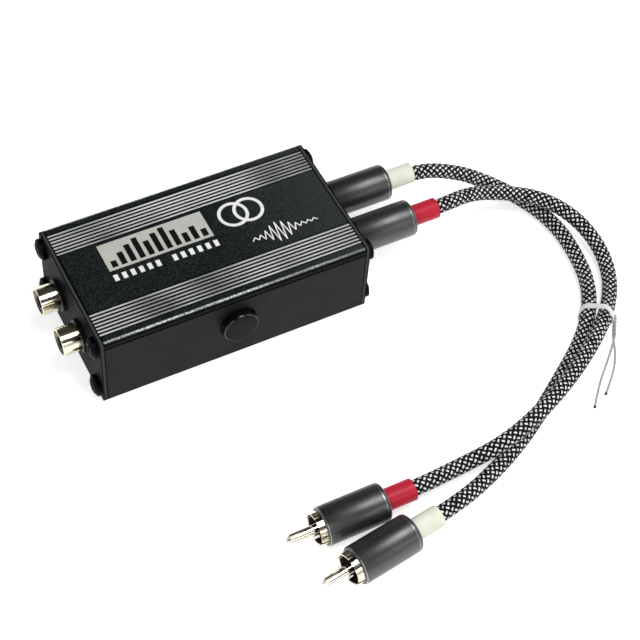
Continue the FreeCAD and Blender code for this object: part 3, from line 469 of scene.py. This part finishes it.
def round_highlight_line(made, over_round):
    """Painted highlight along a long top round: bright specks in a line, thick in some stretches and thin
    in others.
    """
    from_line = distance_from(made, over_round, ROUND_HIGHLIGHT_PLACE)
    on_line = spread(made, from_line, ROUND_HIGHLIGHT_REACH, ROUND_HIGHLIGHT_REACH / 4)
    speckle = spread(made, noise(made, 1700.0, detail=4.0, roughness=0.8), 0.42, 0.60)
    stretches = spread(made, noise(made, 70.0, detail=2.0), 0.3, 0.6)
    return product(made, on_line, blend_numbers(made, speckle, FAINTEST_SPECK, 1.0),
                   blend_numbers(made, stretches, FAINTEST_STRETCH, 1.0))


def ribbed_top():
    """The cover's finish: bare tips on its ribs, a painted highlight of bright specks on its long rounds,
    and painted shade under it.

    Toward the output end the flat gets greyer, and the bare metal and the painted highlight get duller.
    """
    made, shader, colour, rough = anodised_black(
        "ribbed_top", dark=(0.004, 0.005, 0.005), pale=(0.028, 0.034, 0.035),
        roughness=0.42, gloss=0.04, grains=2600.0)
    axes = axes_of(made, object_place(made))
    to_output = spread(made, axes["X"], OUTPUT_FADE_START * MM, CASE_END * MM)
    undimmed = blend_numbers(made, to_output, 1.0, OUTPUT_END_METAL)
    greyed = blend_colours(made, product(made, to_output, OUTPUT_END_GREY), shade_at_joints(made, colour),
                           (0.050, 0.055, 0.055))
    over_round = share_of_round(made, axes)
    # Painted shade: black on the lower part of each long top round and down to the seam.
    shaded = blend_colours(made, spread(made, over_round, *ROUND_SHADE), greyed, SHADE_BLACK)
    # These specks are a painted highlight along the long top rounds; being partly metal, they also reflect
    # the lamps.
    round_highlight = product(made, round_highlight_line(made, over_round), undimmed)
    edged = blend_colours(made, round_highlight, shaded, (0.66, 0.72, 0.70))
    tip = rib_tips(made, axes)
    join(made, blend_colours(made, tip, edged, bare_metal(made, undimmed)), shader.inputs["Base Color"])
    metal = calculate(made, "MAXIMUM", tip, round_highlight)
    smoother = calculate(made, "MULTIPLY_ADD", metal, -BARE_SMOOTHNESS, rough)
    join(made, smoother, shader.inputs["Roughness"])
    join(made, product(made, metal, BARE_METALLIC), shader.inputs["Metallic"])
    return made


def case_side():
    made, shader, colour, _ = anodised_black(
        "case_side", dark=(0.002, 0.003, 0.003), pale=(0.008, 0.011, 0.011), roughness=0.42, gloss=0.08)
    join(made, shade_at_joints(made, colour), shader.inputs["Base Color"])
    return made


def plate_black():
    """The end plates' finish, with a painted highlight, a little paler, along the middle of their rims."""
    made, shader, colour, _ = anodised_black(
        "plate_black", dark=(0.003, 0.004, 0.005), pale=(0.012, 0.013, 0.016), roughness=0.45, gloss=0.02)
    past_middle = calculate(made, "ABSOLUTE", axes_of(made, object_place(made))["X"])
    from_rim = distance_from(made, past_middle, (CASE_END + PLATE_THICKNESS / 2) * MM)
    on_rim = spread(made, from_rim, RIM_HIGHLIGHT_REACH * MM, RIM_HIGHLIGHT_CORE * MM)
    rim_highlighted = blend_colours(made, on_rim, shade_at_joints(made, colour), (0.045, 0.048, 0.050))
    join(made, rim_highlighted, shader.inputs["Base Color"])
    return made


def screw_black():
    return smooth_plastic("screw_black", (0.001, 0.001, 0.002), roughness=0.4, gloss=0.03)


def button_side():
    return smooth_plastic("button_side", (0.002, 0.002, 0.003), roughness=0.12, gloss=0.5, bump=0.05)


def button_face():
    return smooth_plastic("button_face", (0.004, 0.005, 0.005), roughness=0.45, gloss=0.05)


def silver_print():
    return smooth_plastic("silver_print", (0.44, 0.45, 0.41), roughness=0.45)


def black_print():
    return smooth_plastic("black_print", (0.005, 0.005, 0.005), roughness=0.5, gloss=0.05)


def white_print():
    return smooth_plastic("white_print", (0.72, 0.73, 0.70), roughness=0.5)


# Finishes inside the case

def board_green():
    return smooth_plastic("board_green", (0.02, 0.16, 0.06), roughness=0.4)


def lamination():
    return bright_metal("lamination", (0.35, 0.35, 0.36), (0.22, 0.2, 0.19), roughness=0.4)


def bobbin_nylon():
    return smooth_plastic("bobbin_nylon", (0.03, 0.03, 0.032), roughness=0.45)


def winding_tape():
    return smooth_plastic("winding_tape", (0.7, 0.45, 0.08), roughness=0.35)


def tinned_pin():
    return bright_metal("tinned_pin", (0.7, 0.7, 0.7), (0.5, 0.5, 0.5), roughness=0.3)


def switch_black():
    return smooth_plastic("switch_black", (0.02, 0.02, 0.022), roughness=0.4)


# Finishes of the jacks and plugs

def jack_housing():
    return smooth_plastic("jack_housing", (0.005, 0.005, 0.006), roughness=0.4, gloss=0.15)


def jack_nickel():
    return bright_metal("jack_nickel", (0.80, 0.75, 0.60), (0.58, 0.51, 0.36), roughness=0.1)


def jack_insulator():
    return smooth_plastic("jack_insulator", (0.02, 0.02, 0.022), roughness=0.35)


def plug_ring():
    return bright_metal("plug_ring", (0.80, 0.74, 0.60), (0.66, 0.58, 0.42), roughness=0.12)


# Painted shade: near black on the inside of the plug rings, which are plated metal.
def ring_inside_shade():
    return smooth_plastic("ring_inside_shade", (0.004, 0.004, 0.003), roughness=0.45, gloss=0.1)


def plug_insulator():
    return smooth_plastic("plug_insulator", (0.004, 0.004, 0.004), roughness=0.45, gloss=0.1)


def plug_pin():
    return bright_metal("plug_pin", (0.80, 0.77, 0.70), (0.66, 0.60, 0.5), roughness=0.12)


def barrel_black():
    return anodised_black("barrel_black", dark=(0.004, 0.004, 0.005), pale=(0.038, 0.038, 0.040),
                          roughness=0.34, gloss=1.0, grains=3400.0, bump=0.06)[0]


# Painted highlight: paler metal on the barrels' front bevel and in a line before their round rear.
def barrel_edge_highlight():
    return bright_metal("barrel_edge_highlight", (0.36, 0.36, 0.37), (0.25, 0.25, 0.26), roughness=0.3)


def collar_ivory():
    return smooth_plastic("collar_ivory", (0.70, 0.72, 0.60), roughness=0.45)


def collar_crimson():
    return smooth_plastic("collar_crimson", (0.45, 0.012, 0.034), roughness=0.4, gloss=0.2)


# Finishes of the leads and their tie

def rounded_share(made, value, half_size):
    """0 in the middle of a fleck and 1 at its end, rising late so that its corners are square."""
    share = calculate(made, "ABSOLUTE", calculate(made, "DIVIDE", value, half_size))
    return calculate(made, "POWER", share, FLECK_SQUARENESS)


def strand_fleck(made, place):
    """1 where a strand lies on top, with a frayed edge that is worn back in some stretches."""
    axes = axes_of(made, place)
    along = calculate(made, "SUBTRACT", calculate(made, "FRACT", axes["X"]), 0.5)
    across = calculate(made, "SUBTRACT", axes["Y"], 0.5)
    reach = calculate(made, "ADD", rounded_share(made, along, FLECK_HALF_LENGTH),
                      rounded_share(made, across, FLECK_HALF_WIDTH))
    frayed = spread(made, noise(made, 3500.0, detail=2.0), 0.25, 0.75)
    worn = spread(made, noise(made, 620.0, detail=1.0), 0.35, 0.6)
    edge = calculate(made, "MULTIPLY_ADD", worn, FLECK_WEAR, product(made, frayed, FLECK_FRAY))
    return spread(made, calculate(made, "SUBTRACT", edge, reach), *FLECK_BLUR)


def filaments(made, place):
    """Fine lines along a strand, from 0 to 1."""
    texture = add_node(made, "TexNoise", Scale=1.0, Detail=2.0)
    join(made, stretched(made, place, (3.0, 26.0, 1.0)), texture.inputs["Vector"])
    return spread(made, texture.outputs["Fac"], 0.3, 0.7)


def braid_yarn():
    """Black strands with a white fleck where each lies on top, read from the strands' own UV map.

    The map's first value counts crossings and the second goes across a strand.
    """
    made, shader = new_material("braid_yarn", (0.02, 0.02, 0.02), roughness=0.5)
    shader.inputs["Specular IOR Level"].default_value = 0.1
    shader.inputs["Sheen Weight"].default_value = 0.02
    strand_map = made.node_tree.nodes.new("ShaderNodeUVMap")
    strand_map.uv_map = STRAND_MAP
    place = strand_map.outputs["UV"]
    filament = filaments(made, place)
    white = blend_colours(made, filament, (0.52, 0.52, 0.53), (0.86, 0.86, 0.87))
    black = blend_colours(made, filament, (0.001, 0.001, 0.002), (0.008, 0.008, 0.009))
    flecked = blend_colours(made, strand_fleck(made, place), black, white)
    join(made, flecked, shader.inputs["Base Color"])
    raise_surface(made, shader, filament, 0.5, 0.05)
    return made


def braid_core():
    return smooth_plastic("braid_core", (0.004, 0.004, 0.005), roughness=0.6, gloss=0.1)


def tie_film():
    return smooth_plastic("tie_film", (0.66, 0.66, 0.65), roughness=0.25)


def tie_wire():
    return smooth_plastic("tie_wire", (0.34, 0.35, 0.36), roughness=0.3)


def tie_end():
    return smooth_plastic("tie_end", (0.03, 0.03, 0.03), roughness=0.4)


FINISHES = {
    finish.__name__: finish() for finish in (
        ribbed_top, case_side, plate_black, screw_black, button_side, button_face,
        silver_print, black_print, white_print,
        board_green, lamination, bobbin_nylon, winding_tape, tinned_pin, switch_black,
        jack_housing, jack_nickel, jack_insulator, plug_ring, ring_inside_shade, plug_insulator,
        plug_pin, barrel_black, barrel_edge_highlight, collar_ivory, collar_crimson,
        braid_yarn, braid_core, tie_film, tie_wire, tie_end,
    )
}

# Words in the names of CAD nodes, and the finish that each calls for. Barrels, rings, leads, the
# tie and the button's cap have none, because other pieces stand for them.
NODE_FINISHES = {
    "case_base": "case_side",
    "case_cover": "ribbed_top",
    "plate_screws": "screw_black",
    "input_plate": "plate_black",
    "output_plate": "plate_black",
    "circuit_board": "board_green",
    "transformer_core": "lamination",
    "transformer_bobbin": "bobbin_nylon",
    "transformer_winding": "winding_tape",
    "_pins": "tinned_pin",
    "switch_body": "switch_black",
    "switch_plunger": "switch_black",
    "jack_housing": "jack_housing",
    "jack_sleeve": "jack_nickel",
    "jack_insulator": "jack_insulator",
    "jack_contact": "jack_nickel",
    "plug_insulator": "plug_insulator",
    "plug_pin": "plug_pin",
    "white_plug_collar": "collar_ivory",
    "left_plug_collar": "collar_ivory",
    "red_plug_collar": "collar_crimson",
    "right_plug_collar": "collar_crimson",
}


def finish_with(piece, *finishes):
    """Give a piece its finishes, in the order of its faces' material numbers."""
    for finish in finishes:
        piece.data.materials.append(FINISHES[finish])


def dress_nodes():
    """Each CAD node takes the finish that its name calls for."""
    for name, node in nodes.items():
        finish = next((NODE_FINISHES[word] for word in NODE_FINISHES if word in name), None)
        if finish:
            node.data.materials.clear()
            finish_with(node, finish)


# Meshes

def finished(name, bm):
    """Make the object of a bmesh, linked to the scene."""
    mesh = bpy.data.meshes.new(name)
    bm.to_mesh(mesh)
    bm.free()
    made = bpy.data.objects.new(name, mesh)
    bpy.context.scene.collection.objects.link(made)
    return made


def smoothed(piece, crisp_angle=CRISP_ANGLE):
    """Shade a piece smooth, with its edges over some degrees kept crisp."""
    for face in piece.data.polygons:
        face.use_smooth = True
    piece.data.set_sharp_from_angle(angle=math.radians(crisp_angle))
    return piece


def merged_copy(node):
    """A CAD node's mesh as a bmesh, with its loose triangles merged."""
    bm = bmesh.new()
    bm.from_mesh(nodes[node].data)
    bmesh.ops.remove_doubles(bm, verts=bm.verts, dist=MERGE_REACH * MM)
    return bm


def revolve(bm, start, axis, outline, steps):
    """Spin a closed outline of (along, out) pairs in millimetres about an axis through start."""
    out = axis.orthogonal().normalized()
    corners = [bm.verts.new((start + axis * along + out * away) * MM) for along, away in outline]
    edges = [bm.edges.new(pair) for pair in zip(corners, corners[1:] + corners[:1])]
    bmesh.ops.spin(bm, geom=corners + edges, cent=start * MM, axis=axis, angle=math.tau, steps=steps,
                   use_merge=True)
    bmesh.ops.recalc_face_normals(bm, faces=bm.faces)


# Plugs

def plug_start(plug):
    return Vector(PLUG_PLACES[plug][0])


def plug_axis(plug):
    turned = math.radians(PLUG_PLACES[plug][1])
    return Vector((math.cos(turned), math.sin(turned), 0))


def along_plug(plug, distance):
    """A point on a plug's axis, in millimetres, some way behind its ring's front edge."""
    return plug_start(plug) + plug_axis(plug) * distance


def barrel_outline():
    """Half section of a barrel: bevelled front, bright line, round rear and stepped bore."""
    rear = BARREL_REAR - BARREL_ROUNDING
    shoulder = BARREL_RADIUS - BARREL_ROUNDING
    quarter = [math.radians(90 / ROUNDING_STEPS * step) for step in range(ROUNDING_STEPS + 1)]
    return [
        (BARREL_START, BARREL_BORE),
        (BARREL_START, BARREL_RADIUS - BARREL_CHAMFER),
        (BARREL_START + BARREL_CHAMFER - BRIGHT_BEVEL, BARREL_RADIUS - BRIGHT_BEVEL),
        (BARREL_START + BARREL_CHAMFER, BARREL_RADIUS),
        (BRIGHT_LINE[0], BARREL_RADIUS),
        (BRIGHT_LINE[1], BARREL_RADIUS),
        *[(rear + BARREL_ROUNDING * math.sin(turn), shoulder + BARREL_ROUNDING * math.cos(turn))
          for turn in quarter],
        (BARREL_REAR, COLLAR_BORE),
        (BARREL_SEAT, COLLAR_BORE),
        (BARREL_SEAT, BARREL_BORE),
    ]


def add_barrel(plug):
    """Turned barrel with a round rear; a painted highlight of paler metal lies on its front bevel and in a
    bright line before the round.
    """
    bm = bmesh.new()
    revolve(bm, plug_start(plug), plug_axis(plug), barrel_outline(), BARREL_STEPS)
    bevel_end = BARREL_START + BARREL_CHAMFER
    for face in bm.faces:
        behind = (face.calc_center_median() / MM - plug_start(plug)).dot(plug_axis(plug))
        on_bevel = bevel_end - BRIGHT_BEVEL < behind < bevel_end
        on_line = BRIGHT_LINE[0] < behind < BRIGHT_LINE[1]
        face.material_index = 1 if on_bevel or on_line else 0
    barrel = smoothed(finished(plug + "_turned_barrel", bm), BARREL_CRISP_ANGLE)
    finish_with(barrel, "barrel_black", "barrel_edge_highlight")
    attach(barrel, "case")
    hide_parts(plug + "_barrel")


def add_ring(plug):
    """Outer contact in its own shape, plated outside, with painted shade on its inside."""
    node = plug + "_ring"
    bm = merged_copy(node)
    for face in bm.faces:
        offset = face.calc_center_median() / MM - plug_start(plug)
        out = offset - plug_axis(plug) * offset.dot(plug_axis(plug))
        inside = out.length < RING_INSIDE_RADIUS and face.normal.dot(out) <= LOOKS_OUTWARDS
        face.material_index = 1 if inside else 0
    ring = smoothed(finished(plug + "_plated_ring", bm))
    finish_with(ring, "plug_ring", "ring_inside_shade")
    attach(ring, "case")
    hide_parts(node)


# Button

def add_button():
    """Button cap in its own shape, glossy round its side and satin on its face."""
    bm = merged_copy("button_cap")
    front = min(corner.co.y for corner in bm.verts)
    for face in bm.faces:
        on_front = face.calc_center_median().y < front + BUTTON_FACE_DEPTH * MM
        face.material_index = 1 if on_front else 0
    button = smoothed(finished("push_button", bm))
    finish_with(button, "button_side", "button_face")
    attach(button, "button")
    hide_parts("button_cap")


# Lines of the leads

def new_tube(name, points, steps, radius=0.0):
    """Mesh of a smooth line whose control points are given in millimetres, or of a tube round it."""
    curve = bpy.data.curves.new(name, "CURVE")
    curve.dimensions = "3D"
    curve.resolution_u = steps
    curve.bevel_depth = radius * MM
    curve.bevel_resolution = TUBE_ROUNDNESS
    curve.use_fill_caps = True
    spline = curve.splines.new("NURBS")
    spline.points.add(len(points) - 1)
    for control, point in zip(spline.points, points):
        control.co = (*(point * MM), 1.0)
    spline.order_u = SPLINE_ORDER
    spline.use_endpoint_u = True
    holder = bpy.data.objects.new(name, curve)
    mesh = bpy.data.meshes.new_from_object(holder)
    bpy.data.objects.remove(holder)
    bpy.data.curves.remove(curve)
    return mesh


def route_points(near_plug, middle, far_plug, last_run):
    """A lead's points from one plug's barrel to the other's."""
    return [
        along_plug(near_plug, LEAD_START),
        along_plug(near_plug, LEAD_START + FIRST_RUN),
        *[Vector(point) for point in middle],
        along_plug(far_plug, LEAD_START + last_run),
        along_plug(far_plug, LEAD_START),
    ]


def route_line(name, points):
    """The smooth line of a route, as points read from its spline."""
    mesh = new_tube(name, points, ROUTE_STEPS)
    found = [vertex.co.copy() for vertex in mesh.vertices]
    bpy.data.meshes.remove(mesh)
    return found


def line_length(line):
    return sum((there - here).length for here, there in zip(line, line[1:]))


def evenly(line, step):
    """Points about a step apart along a line, the last one at its end."""
    count = max(2, round(line_length(line) / step))
    gap = line_length(line) / count
    spaced = [line[0]]
    walked = 0.0
    for here, there in zip(line, line[1:]):
        run = (there - here).length
        while len(spaced) < count and walked + run >= gap * len(spaced):
            spaced.append(here.lerp(there, (gap * len(spaced) - walked) / run))
        walked += run
    return spaced + [line[-1]]


def headings(line):
    """The direction of a line at each of its points."""
    before = line[:1] + line[:-1]
    after = line[1:] + line[-1:]
    return [(there - here).normalized() for here, there in zip(before, after)]


def sides_along(line):
    """Two directions square to a line at each of its points, without any twist."""
    ways = headings(line)
    side = ways[0].orthogonal().normalized()
    found = []
    for before, way in zip([ways[0]] + ways, ways):
        side = before.rotation_difference(way) @ side
        side = (side - way * side.dot(way)).normalized()
        found.append((side, way.cross(side)))
    return found


# Braid

def sweep(bm, centres, across, up, section, shade, uv, counts):
    """Carry a closed section along centres. across and up are the directions of its two axes.

    counts holds the first value of the UV map at each centre.
    """
    corners = len(section)
    widest = max(abs(x) for x, _ in section)
    loops = [
        [bm.verts.new(centre + wide * (x * MM) + high * (y * MM)) for x, y in section]
        for centre, wide, high in zip(centres, across, up)
    ]
    for row, (ring, following) in enumerate(zip(loops, loops[1:])):
        for corner in range(corners):
            turn = (corner + 1) % corners
            face = bm.faces.new((ring[corner], ring[turn], following[turn], following[corner]))
            face.smooth = True
            face.material_index = shade
            marks = ((row, corner), (row, turn), (row + 1, turn), (row + 1, corner))
            for loop, (along, side) in zip(face.loops, marks):
                loop[uv].uv = (counts[along], 0.5 + section[side][0] / widest / 2)
    for ring in (reversed(loops[0]), loops[-1]):
        bm.faces.new(ring).material_index = shade


def wound_line(points, sides, turns, strand, way):
    """Middle line of one strand and its outward directions, over and under those of the other way."""
    centres = []
    outward = []
    for point, (side, other), turned in zip(points, sides, turns):
        angle = math.tau * (strand / STRANDS_EACH_WAY + way * turned)
        wave = math.cos(math.tau * STRANDS_EACH_WAY * turned)
        out = side * math.cos(angle) + other * math.sin(angle)
        centres.append(point + out * ((STRAND_MIDDLE_RADIUS + way * STRAND_LIFT * wave) * MM))
        outward.append(out)
    return centres, outward


def add_strands(bm, uv, line):
    """Strands wound both ways round a line. The map counts each one's crossings from one on top."""
    points = evenly(line, STRAND_LAY / STRANDS_EACH_WAY / ROWS_A_CROSSING * MM)
    sides = sides_along(points)
    step = line_length(points) / (len(points) - 1) / MM
    turns = [row * step / STRAND_LAY for row in range(len(points))]
    section = [(x * STRAND_WIDTH / 2, y * STRAND_THICKNESS / 2) for x, y in STRAND_SECTION]
    for way, first_top in ((1, 0.5), (-1, 0.0)):
        counts = [first_top + STRANDS_EACH_WAY * turned for turned in turns]
        for strand in range(STRANDS_EACH_WAY):
            centres, outward = wound_line(points, sides, turns, strand, way)
            ways = headings(centres)
            across = [ahead.cross(out).normalized() for ahead, out in zip(ways, outward)]
            up = [wide.cross(ahead) for wide, ahead in zip(across, ways)]
            sweep(bm, centres, across, up, section, 0, uv, counts)


def add_core(bm, uv, line):
    """Plain round core that shows black between the strands."""
    radius = STRAND_MIDDLE_RADIUS - STRAND_THICKNESS / 2
    points = evenly(line, CORE_STEP * MM)
    across, up = zip(*sides_along(points))
    angles = [math.tau * corner / CORE_CORNERS for corner in range(CORE_CORNERS)]
    section = [(radius * math.cos(angle), radius * math.sin(angle)) for angle in angles]
    sweep(bm, points, across, up, section, 1, uv, [0.0] * len(points))


def braid(name, line):
    """Strands wound both ways round a core, each over and under those of the other way."""
    bm = bmesh.new()
    uv = bm.loops.layers.uv.new(STRAND_MAP)
    add_strands(bm, uv, line)
    add_core(bm, uv, line)
    bmesh.ops.recalc_face_normals(bm, faces=bm.faces)
    return finished(name, bm)


def add_lead(name, node, line):
    lead = braid(name, line)
    finish_with(lead, "braid_yarn", "braid_core")
    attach(lead, "case")
    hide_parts(node)
    tuple(line[0])
    line_length(line)
    [tuple(point) for point in line]


# Tie

def tie_band(bm, white_spot, red_spot, along):
    """Film band round both leads: a ring of edges pulled apart sideways and arched over the top."""
    across = (red_spot - white_spot).normalized()
    upright = along.cross(across)
    middle = (white_spot + red_spot) / 2
    turned = Matrix((across, upright, along)).transposed().to_4x4()
    radius = LEAD_DIAMETER / 2 + TIE_FIT + TIE_THICKNESS
    half_gap = (red_spot - white_spot).length / 2
    ring = bmesh.ops.create_circle(bm, segments=TIE_CORNERS, radius=radius * MM,
                                   matrix=Matrix.Translation(middle) @ turned)
    for corner in ring["verts"]:
        offset = corner.co - middle
        corner.co += across * math.copysign(half_gap, offset.dot(across))
        reach = (corner.co - middle).dot(across) / (half_gap + radius * MM)
        bend = max(0.0, math.copysign(1 - reach ** 2, offset.dot(upright))) * TIE_ARCH
        corner.co -= along * ((TIE_WIDTH / 2 + bend - TIE_ARCH / 2) * MM)
    rim = list({edge for corner in ring["verts"] for edge in corner.link_edges})
    pulled = bmesh.ops.extrude_edge_only(bm, edges=rim)["geom"]
    far_rim = [item for item in pulled if isinstance(item, bmesh.types.BMVert)]
    bmesh.ops.translate(bm, vec=along * (TIE_WIDTH * MM), verts=far_rim)
    bmesh.ops.recalc_face_normals(bm, faces=bm.faces)
    bmesh.ops.solidify(bm, geom=list(bm.faces), thickness=TIE_THICKNESS * MM)


def twist_wire(start, turn, tail):
    """One of the two wires of the twist, as a mesh that goes on into its tail."""
    end = Vector(TIE_TWIST_END)
    way = (end - start).normalized()
    side = way.orthogonal().normalized()
    points = []
    for step in range(TIE_TWIST_STEPS + 1):
        share = step / TIE_TWIST_STEPS
        angle = turn + math.tau * TIE_TURNS * share
        out = side * math.cos(angle) + way.cross(side) * math.sin(angle)
        points.append(start.lerp(end, share) + out * TIE_TWIST_RADIUS)
    points += [Vector(point) for point in tail]
    return new_tube("twist_wire", points, TIE_WIRE_STEPS, TIE_WIRE_RADIUS)


def nearest(line, spot):
    """Which point of a line lies nearest a spot."""
    return min(range(len(line)), key=lambda place: (line[place] - spot).length)


def add_tie(white_line, red_line):
    """Twisted film tie in place of its plain solid."""
    white_at = nearest(white_line, Vector(TIE_PLACE) * MM)
    red_at = nearest(red_line, Vector(TIE_PLACE) * MM)
    across = (red_line[red_at] - white_line[white_at]).normalized()
    along = headings(white_line)[white_at] + headings(red_line)[red_at]
    along = (along - across * along.dot(across)).normalized()
    bm = bmesh.new()
    tie_band(bm, white_line[white_at], red_line[red_at], along)
    band_faces = len(bm.faces)
    start = red_line[red_at] / MM + across * (LEAD_DIAMETER / 2 + TIE_FIT + TIE_THICKNESS)
    for turn, tail in zip((0.0, math.pi), TIE_TAILS):
        wire = twist_wire(start, turn, tail)
        bm.from_mesh(wire)
        bpy.data.meshes.remove(wire)
    wire_faces = len(bm.faces)
    for tail in TIE_TAILS:
        bmesh.ops.create_icosphere(bm, subdivisions=BALL_ROUNDNESS, radius=TIE_END_RADIUS * MM,
                                   matrix=Matrix.Translation(Vector(tail[-1]) * MM))
    for place, face in enumerate(bm.faces):
        face.material_index = (place >= band_faces) + (place >= wire_faces)
    tie = smoothed(finished("film_tie", bm))
    finish_with(tie, "tie_film", "tie_wire", "tie_end")
    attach(tie, "case")
    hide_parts("cord_tie")


# Printed marks on the top

def add_slab(bm, left, right, front, back, bottom, top):
    """A flat block between its six sides."""
    middle = Vector((left + right, front + back, bottom + top)) / 2
    sides = Matrix.Diagonal((right - left, back - front, top - bottom, 1.0))
    bmesh.ops.create_cube(bm, size=MM, matrix=Matrix.Translation(middle * MM) @ sides)


def printed(name, bm, finish):
    mark = finished(name, bm)
    finish_with(mark, finish)
    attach(mark, "case")


def add_meter_mark():
    """Silver field with a row of plain dark bars."""
    left, right, front, back = METER_FIELD
    silver_top = CASE_TOP + PRINT_THICKNESS
    field = bmesh.new()
    add_slab(field, left, right, front, back, CASE_TOP, silver_top)
    printed("meter_field", field, "silver_print")
    bars = bmesh.new()
    pitch = (right - left) / (len(METER_LEVELS) + 0.5)
    bar_front = front + METER_MARGIN
    for place, level in enumerate(METER_LEVELS):
        bar_left = left + pitch * (place + 0.5)
        add_slab(bars, bar_left, bar_left + pitch * METER_BAR_SHARE, bar_front, bar_front + level,
                 silver_top, silver_top + PRINT_THICKNESS)
    printed("meter_bars", bars, "black_print")


def add_tick_marks():
    """A row of small plain ticks in two groups."""
    left, right, front, back = TICK_FIELD
    bm = bmesh.new()
    pitch = (right - left - TICK_WIDTH) / (TICKS - 1)
    for place in range(TICKS):
        if place == TICKS // 2:
            continue
        tick_left = left + pitch * place
        add_slab(bm, tick_left, tick_left + TICK_WIDTH, front, back, CASE_TOP, CASE_TOP + PRINT_THICKNESS)
    printed("tick_marks", bm, "white_print")


def add_hoop_marks():
    """Two plain rings that overlap, the sign for two channels. The first is the thinner one."""
    bm = bmesh.new()
    inner = HOOP_RADIUS - HOOP_STROKE / 2
    outer = HOOP_RADIUS + HOOP_STROKE / 2
    for (across, up), thickness in zip(HOOP_PLACES, (THIN_PRINT, PRINT_THICKNESS)):
        top = CASE_TOP + thickness
        outline = [(CASE_TOP, inner), (CASE_TOP, outer), (top, outer), (top, inner)]
        revolve(bm, Vector((across, up, 0)), Vector((0, 0, 1)), outline, HOOP_STEPS)
    printed("hoop_marks", bm, "white_print")


def wave_corners():
    """The wave's corners, to and fro across its field, small at the ends and tall at the swell."""
    left, right, front, back = WAVE_FIELD
    step = (right - left) / WAVE_STROKES
    level = (front + back) / 2
    corners = []
    for turn in range(WAVE_STROKES + 1):
        from_swell = turn / WAVE_STROKES - WAVE_SWELL_PLACE
        swell = math.exp(-(from_swell / WAVE_SWELL_SPREAD) ** 2)
        height = (WAVE_LEAST + (1 - WAVE_LEAST) * swell) * (back - front) / 2
        way = 1 if turn % 2 else -1
        corners.append(Vector((left + step * turn, level + way * height, CASE_TOP)))
    return corners


def add_wave_mark():
    """A burst of straight strokes from corner to corner.

    Every second stroke is thinner, so that no two tops lie in one plane where they overlap.
    """
    bm = bmesh.new()
    corners = wave_corners()
    for turn, (here, there) in enumerate(zip(corners, corners[1:])):
        run = there - here
        thickness = THIN_PRINT if turn % 2 else PRINT_THICKNESS
        sides = (run.length + WAVE_STROKE_WIDTH / 2, WAVE_STROKE_WIDTH, thickness)
        turned = Matrix.Rotation(math.atan2(run.y, run.x), 3, "Z")
        middle = (here + there) / 2 + Vector((0, 0, thickness / 2))
        stroke = bmesh.ops.create_cube(bm, size=1.0)["verts"]
        bmesh.ops.scale(bm, vec=sides, verts=stroke)
        bmesh.ops.rotate(bm, cent=(0, 0, 0), matrix=turned, verts=stroke)
        bmesh.ops.translate(bm, vec=middle, verts=stroke)
    bmesh.ops.scale(bm, vec=(MM, MM, MM), verts=bm.verts)
    printed("wave_mark", bm, "white_print")


# Floor and background

def sent_back(made):
    """1 for rays that metal or glass sends on."""
    light_path = add_node(made, "LightPath").outputs
    return calculate(made, "MAXIMUM", light_path["Is Glossy Ray"], light_path["Is Transmission Ray"])


def shown_to_eye(made):
    """1 for rays from the eye and for those that metal or glass sends on."""
    light_path = add_node(made, "LightPath").outputs
    return calculate(made, "MAXIMUM", light_path["Is Camera Ray"], sent_back(made))


def add_floor():
    bm = bmesh.new()
    bmesh.ops.create_grid(bm, x_segments=1, y_segments=1, size=FLOOR_HALF_WIDTH * MM)
    floor = finished("floor", bm)
    made, shader = new_material("floor_paper", (0.9, 0.9, 0.9), roughness=0.9)
    shader.inputs["Specular IOR Level"].default_value = 0.0
    shader.inputs["Emission Color"].default_value = (1.0, 1.0, 1.0, 1.0)
    join(made, product(made, shown_to_eye(made), FLOOR_GLOW), shader.inputs["Emission Strength"])
    floor.data.materials.append(made)


def add_background():
    """White all round to the eye. What metal shows is white near the floor and darker overhead."""
    world = bpy.data.worlds.new("studio")
    world.use_nodes = True
    bpy.context.scene.world = world
    background = world.node_tree.nodes["Background"]
    background.inputs["Color"].default_value = (1.0, 1.0, 1.0, 1.0)
    overhead = spread(world, axes_of(world, object_place(world))["Z"], *CEILING_SLOPES)
    white = blend_numbers(world, shown_to_eye(world), ROOM_LIGHT, 1.0)
    dimmed = product(world, overhead, sent_back(world), DARK_CEILING)
    join(world, calculate(world, "SUBTRACT", white, dimmed), background.inputs["Strength"])


# Whole object


bpy.context.scene.view_settings.view_transform = "Standard"
add_camera()
for plug in PLUG_PLACES:
    add_barrel(plug)
    add_ring(plug)
add_button()
white_line = route_line(
    "white_route", route_points("output_left_plug", WHITE_ROUTE, "free_white_plug", WHITE_LAST_RUN))
red_line = route_line(
    "red_route", route_points("output_right_plug", RED_ROUTE, "free_red_plug", RED_LAST_RUN))
add_tie(white_line, red_line)
add_lead("white_braid", "white_lead", white_line)
add_lead("red_braid", "red_lead", red_line)
add_meter_mark()
add_tick_marks()
add_hoop_marks()
add_wave_mark()
add_lights()
add_floor()
add_background()
dress_nodes()
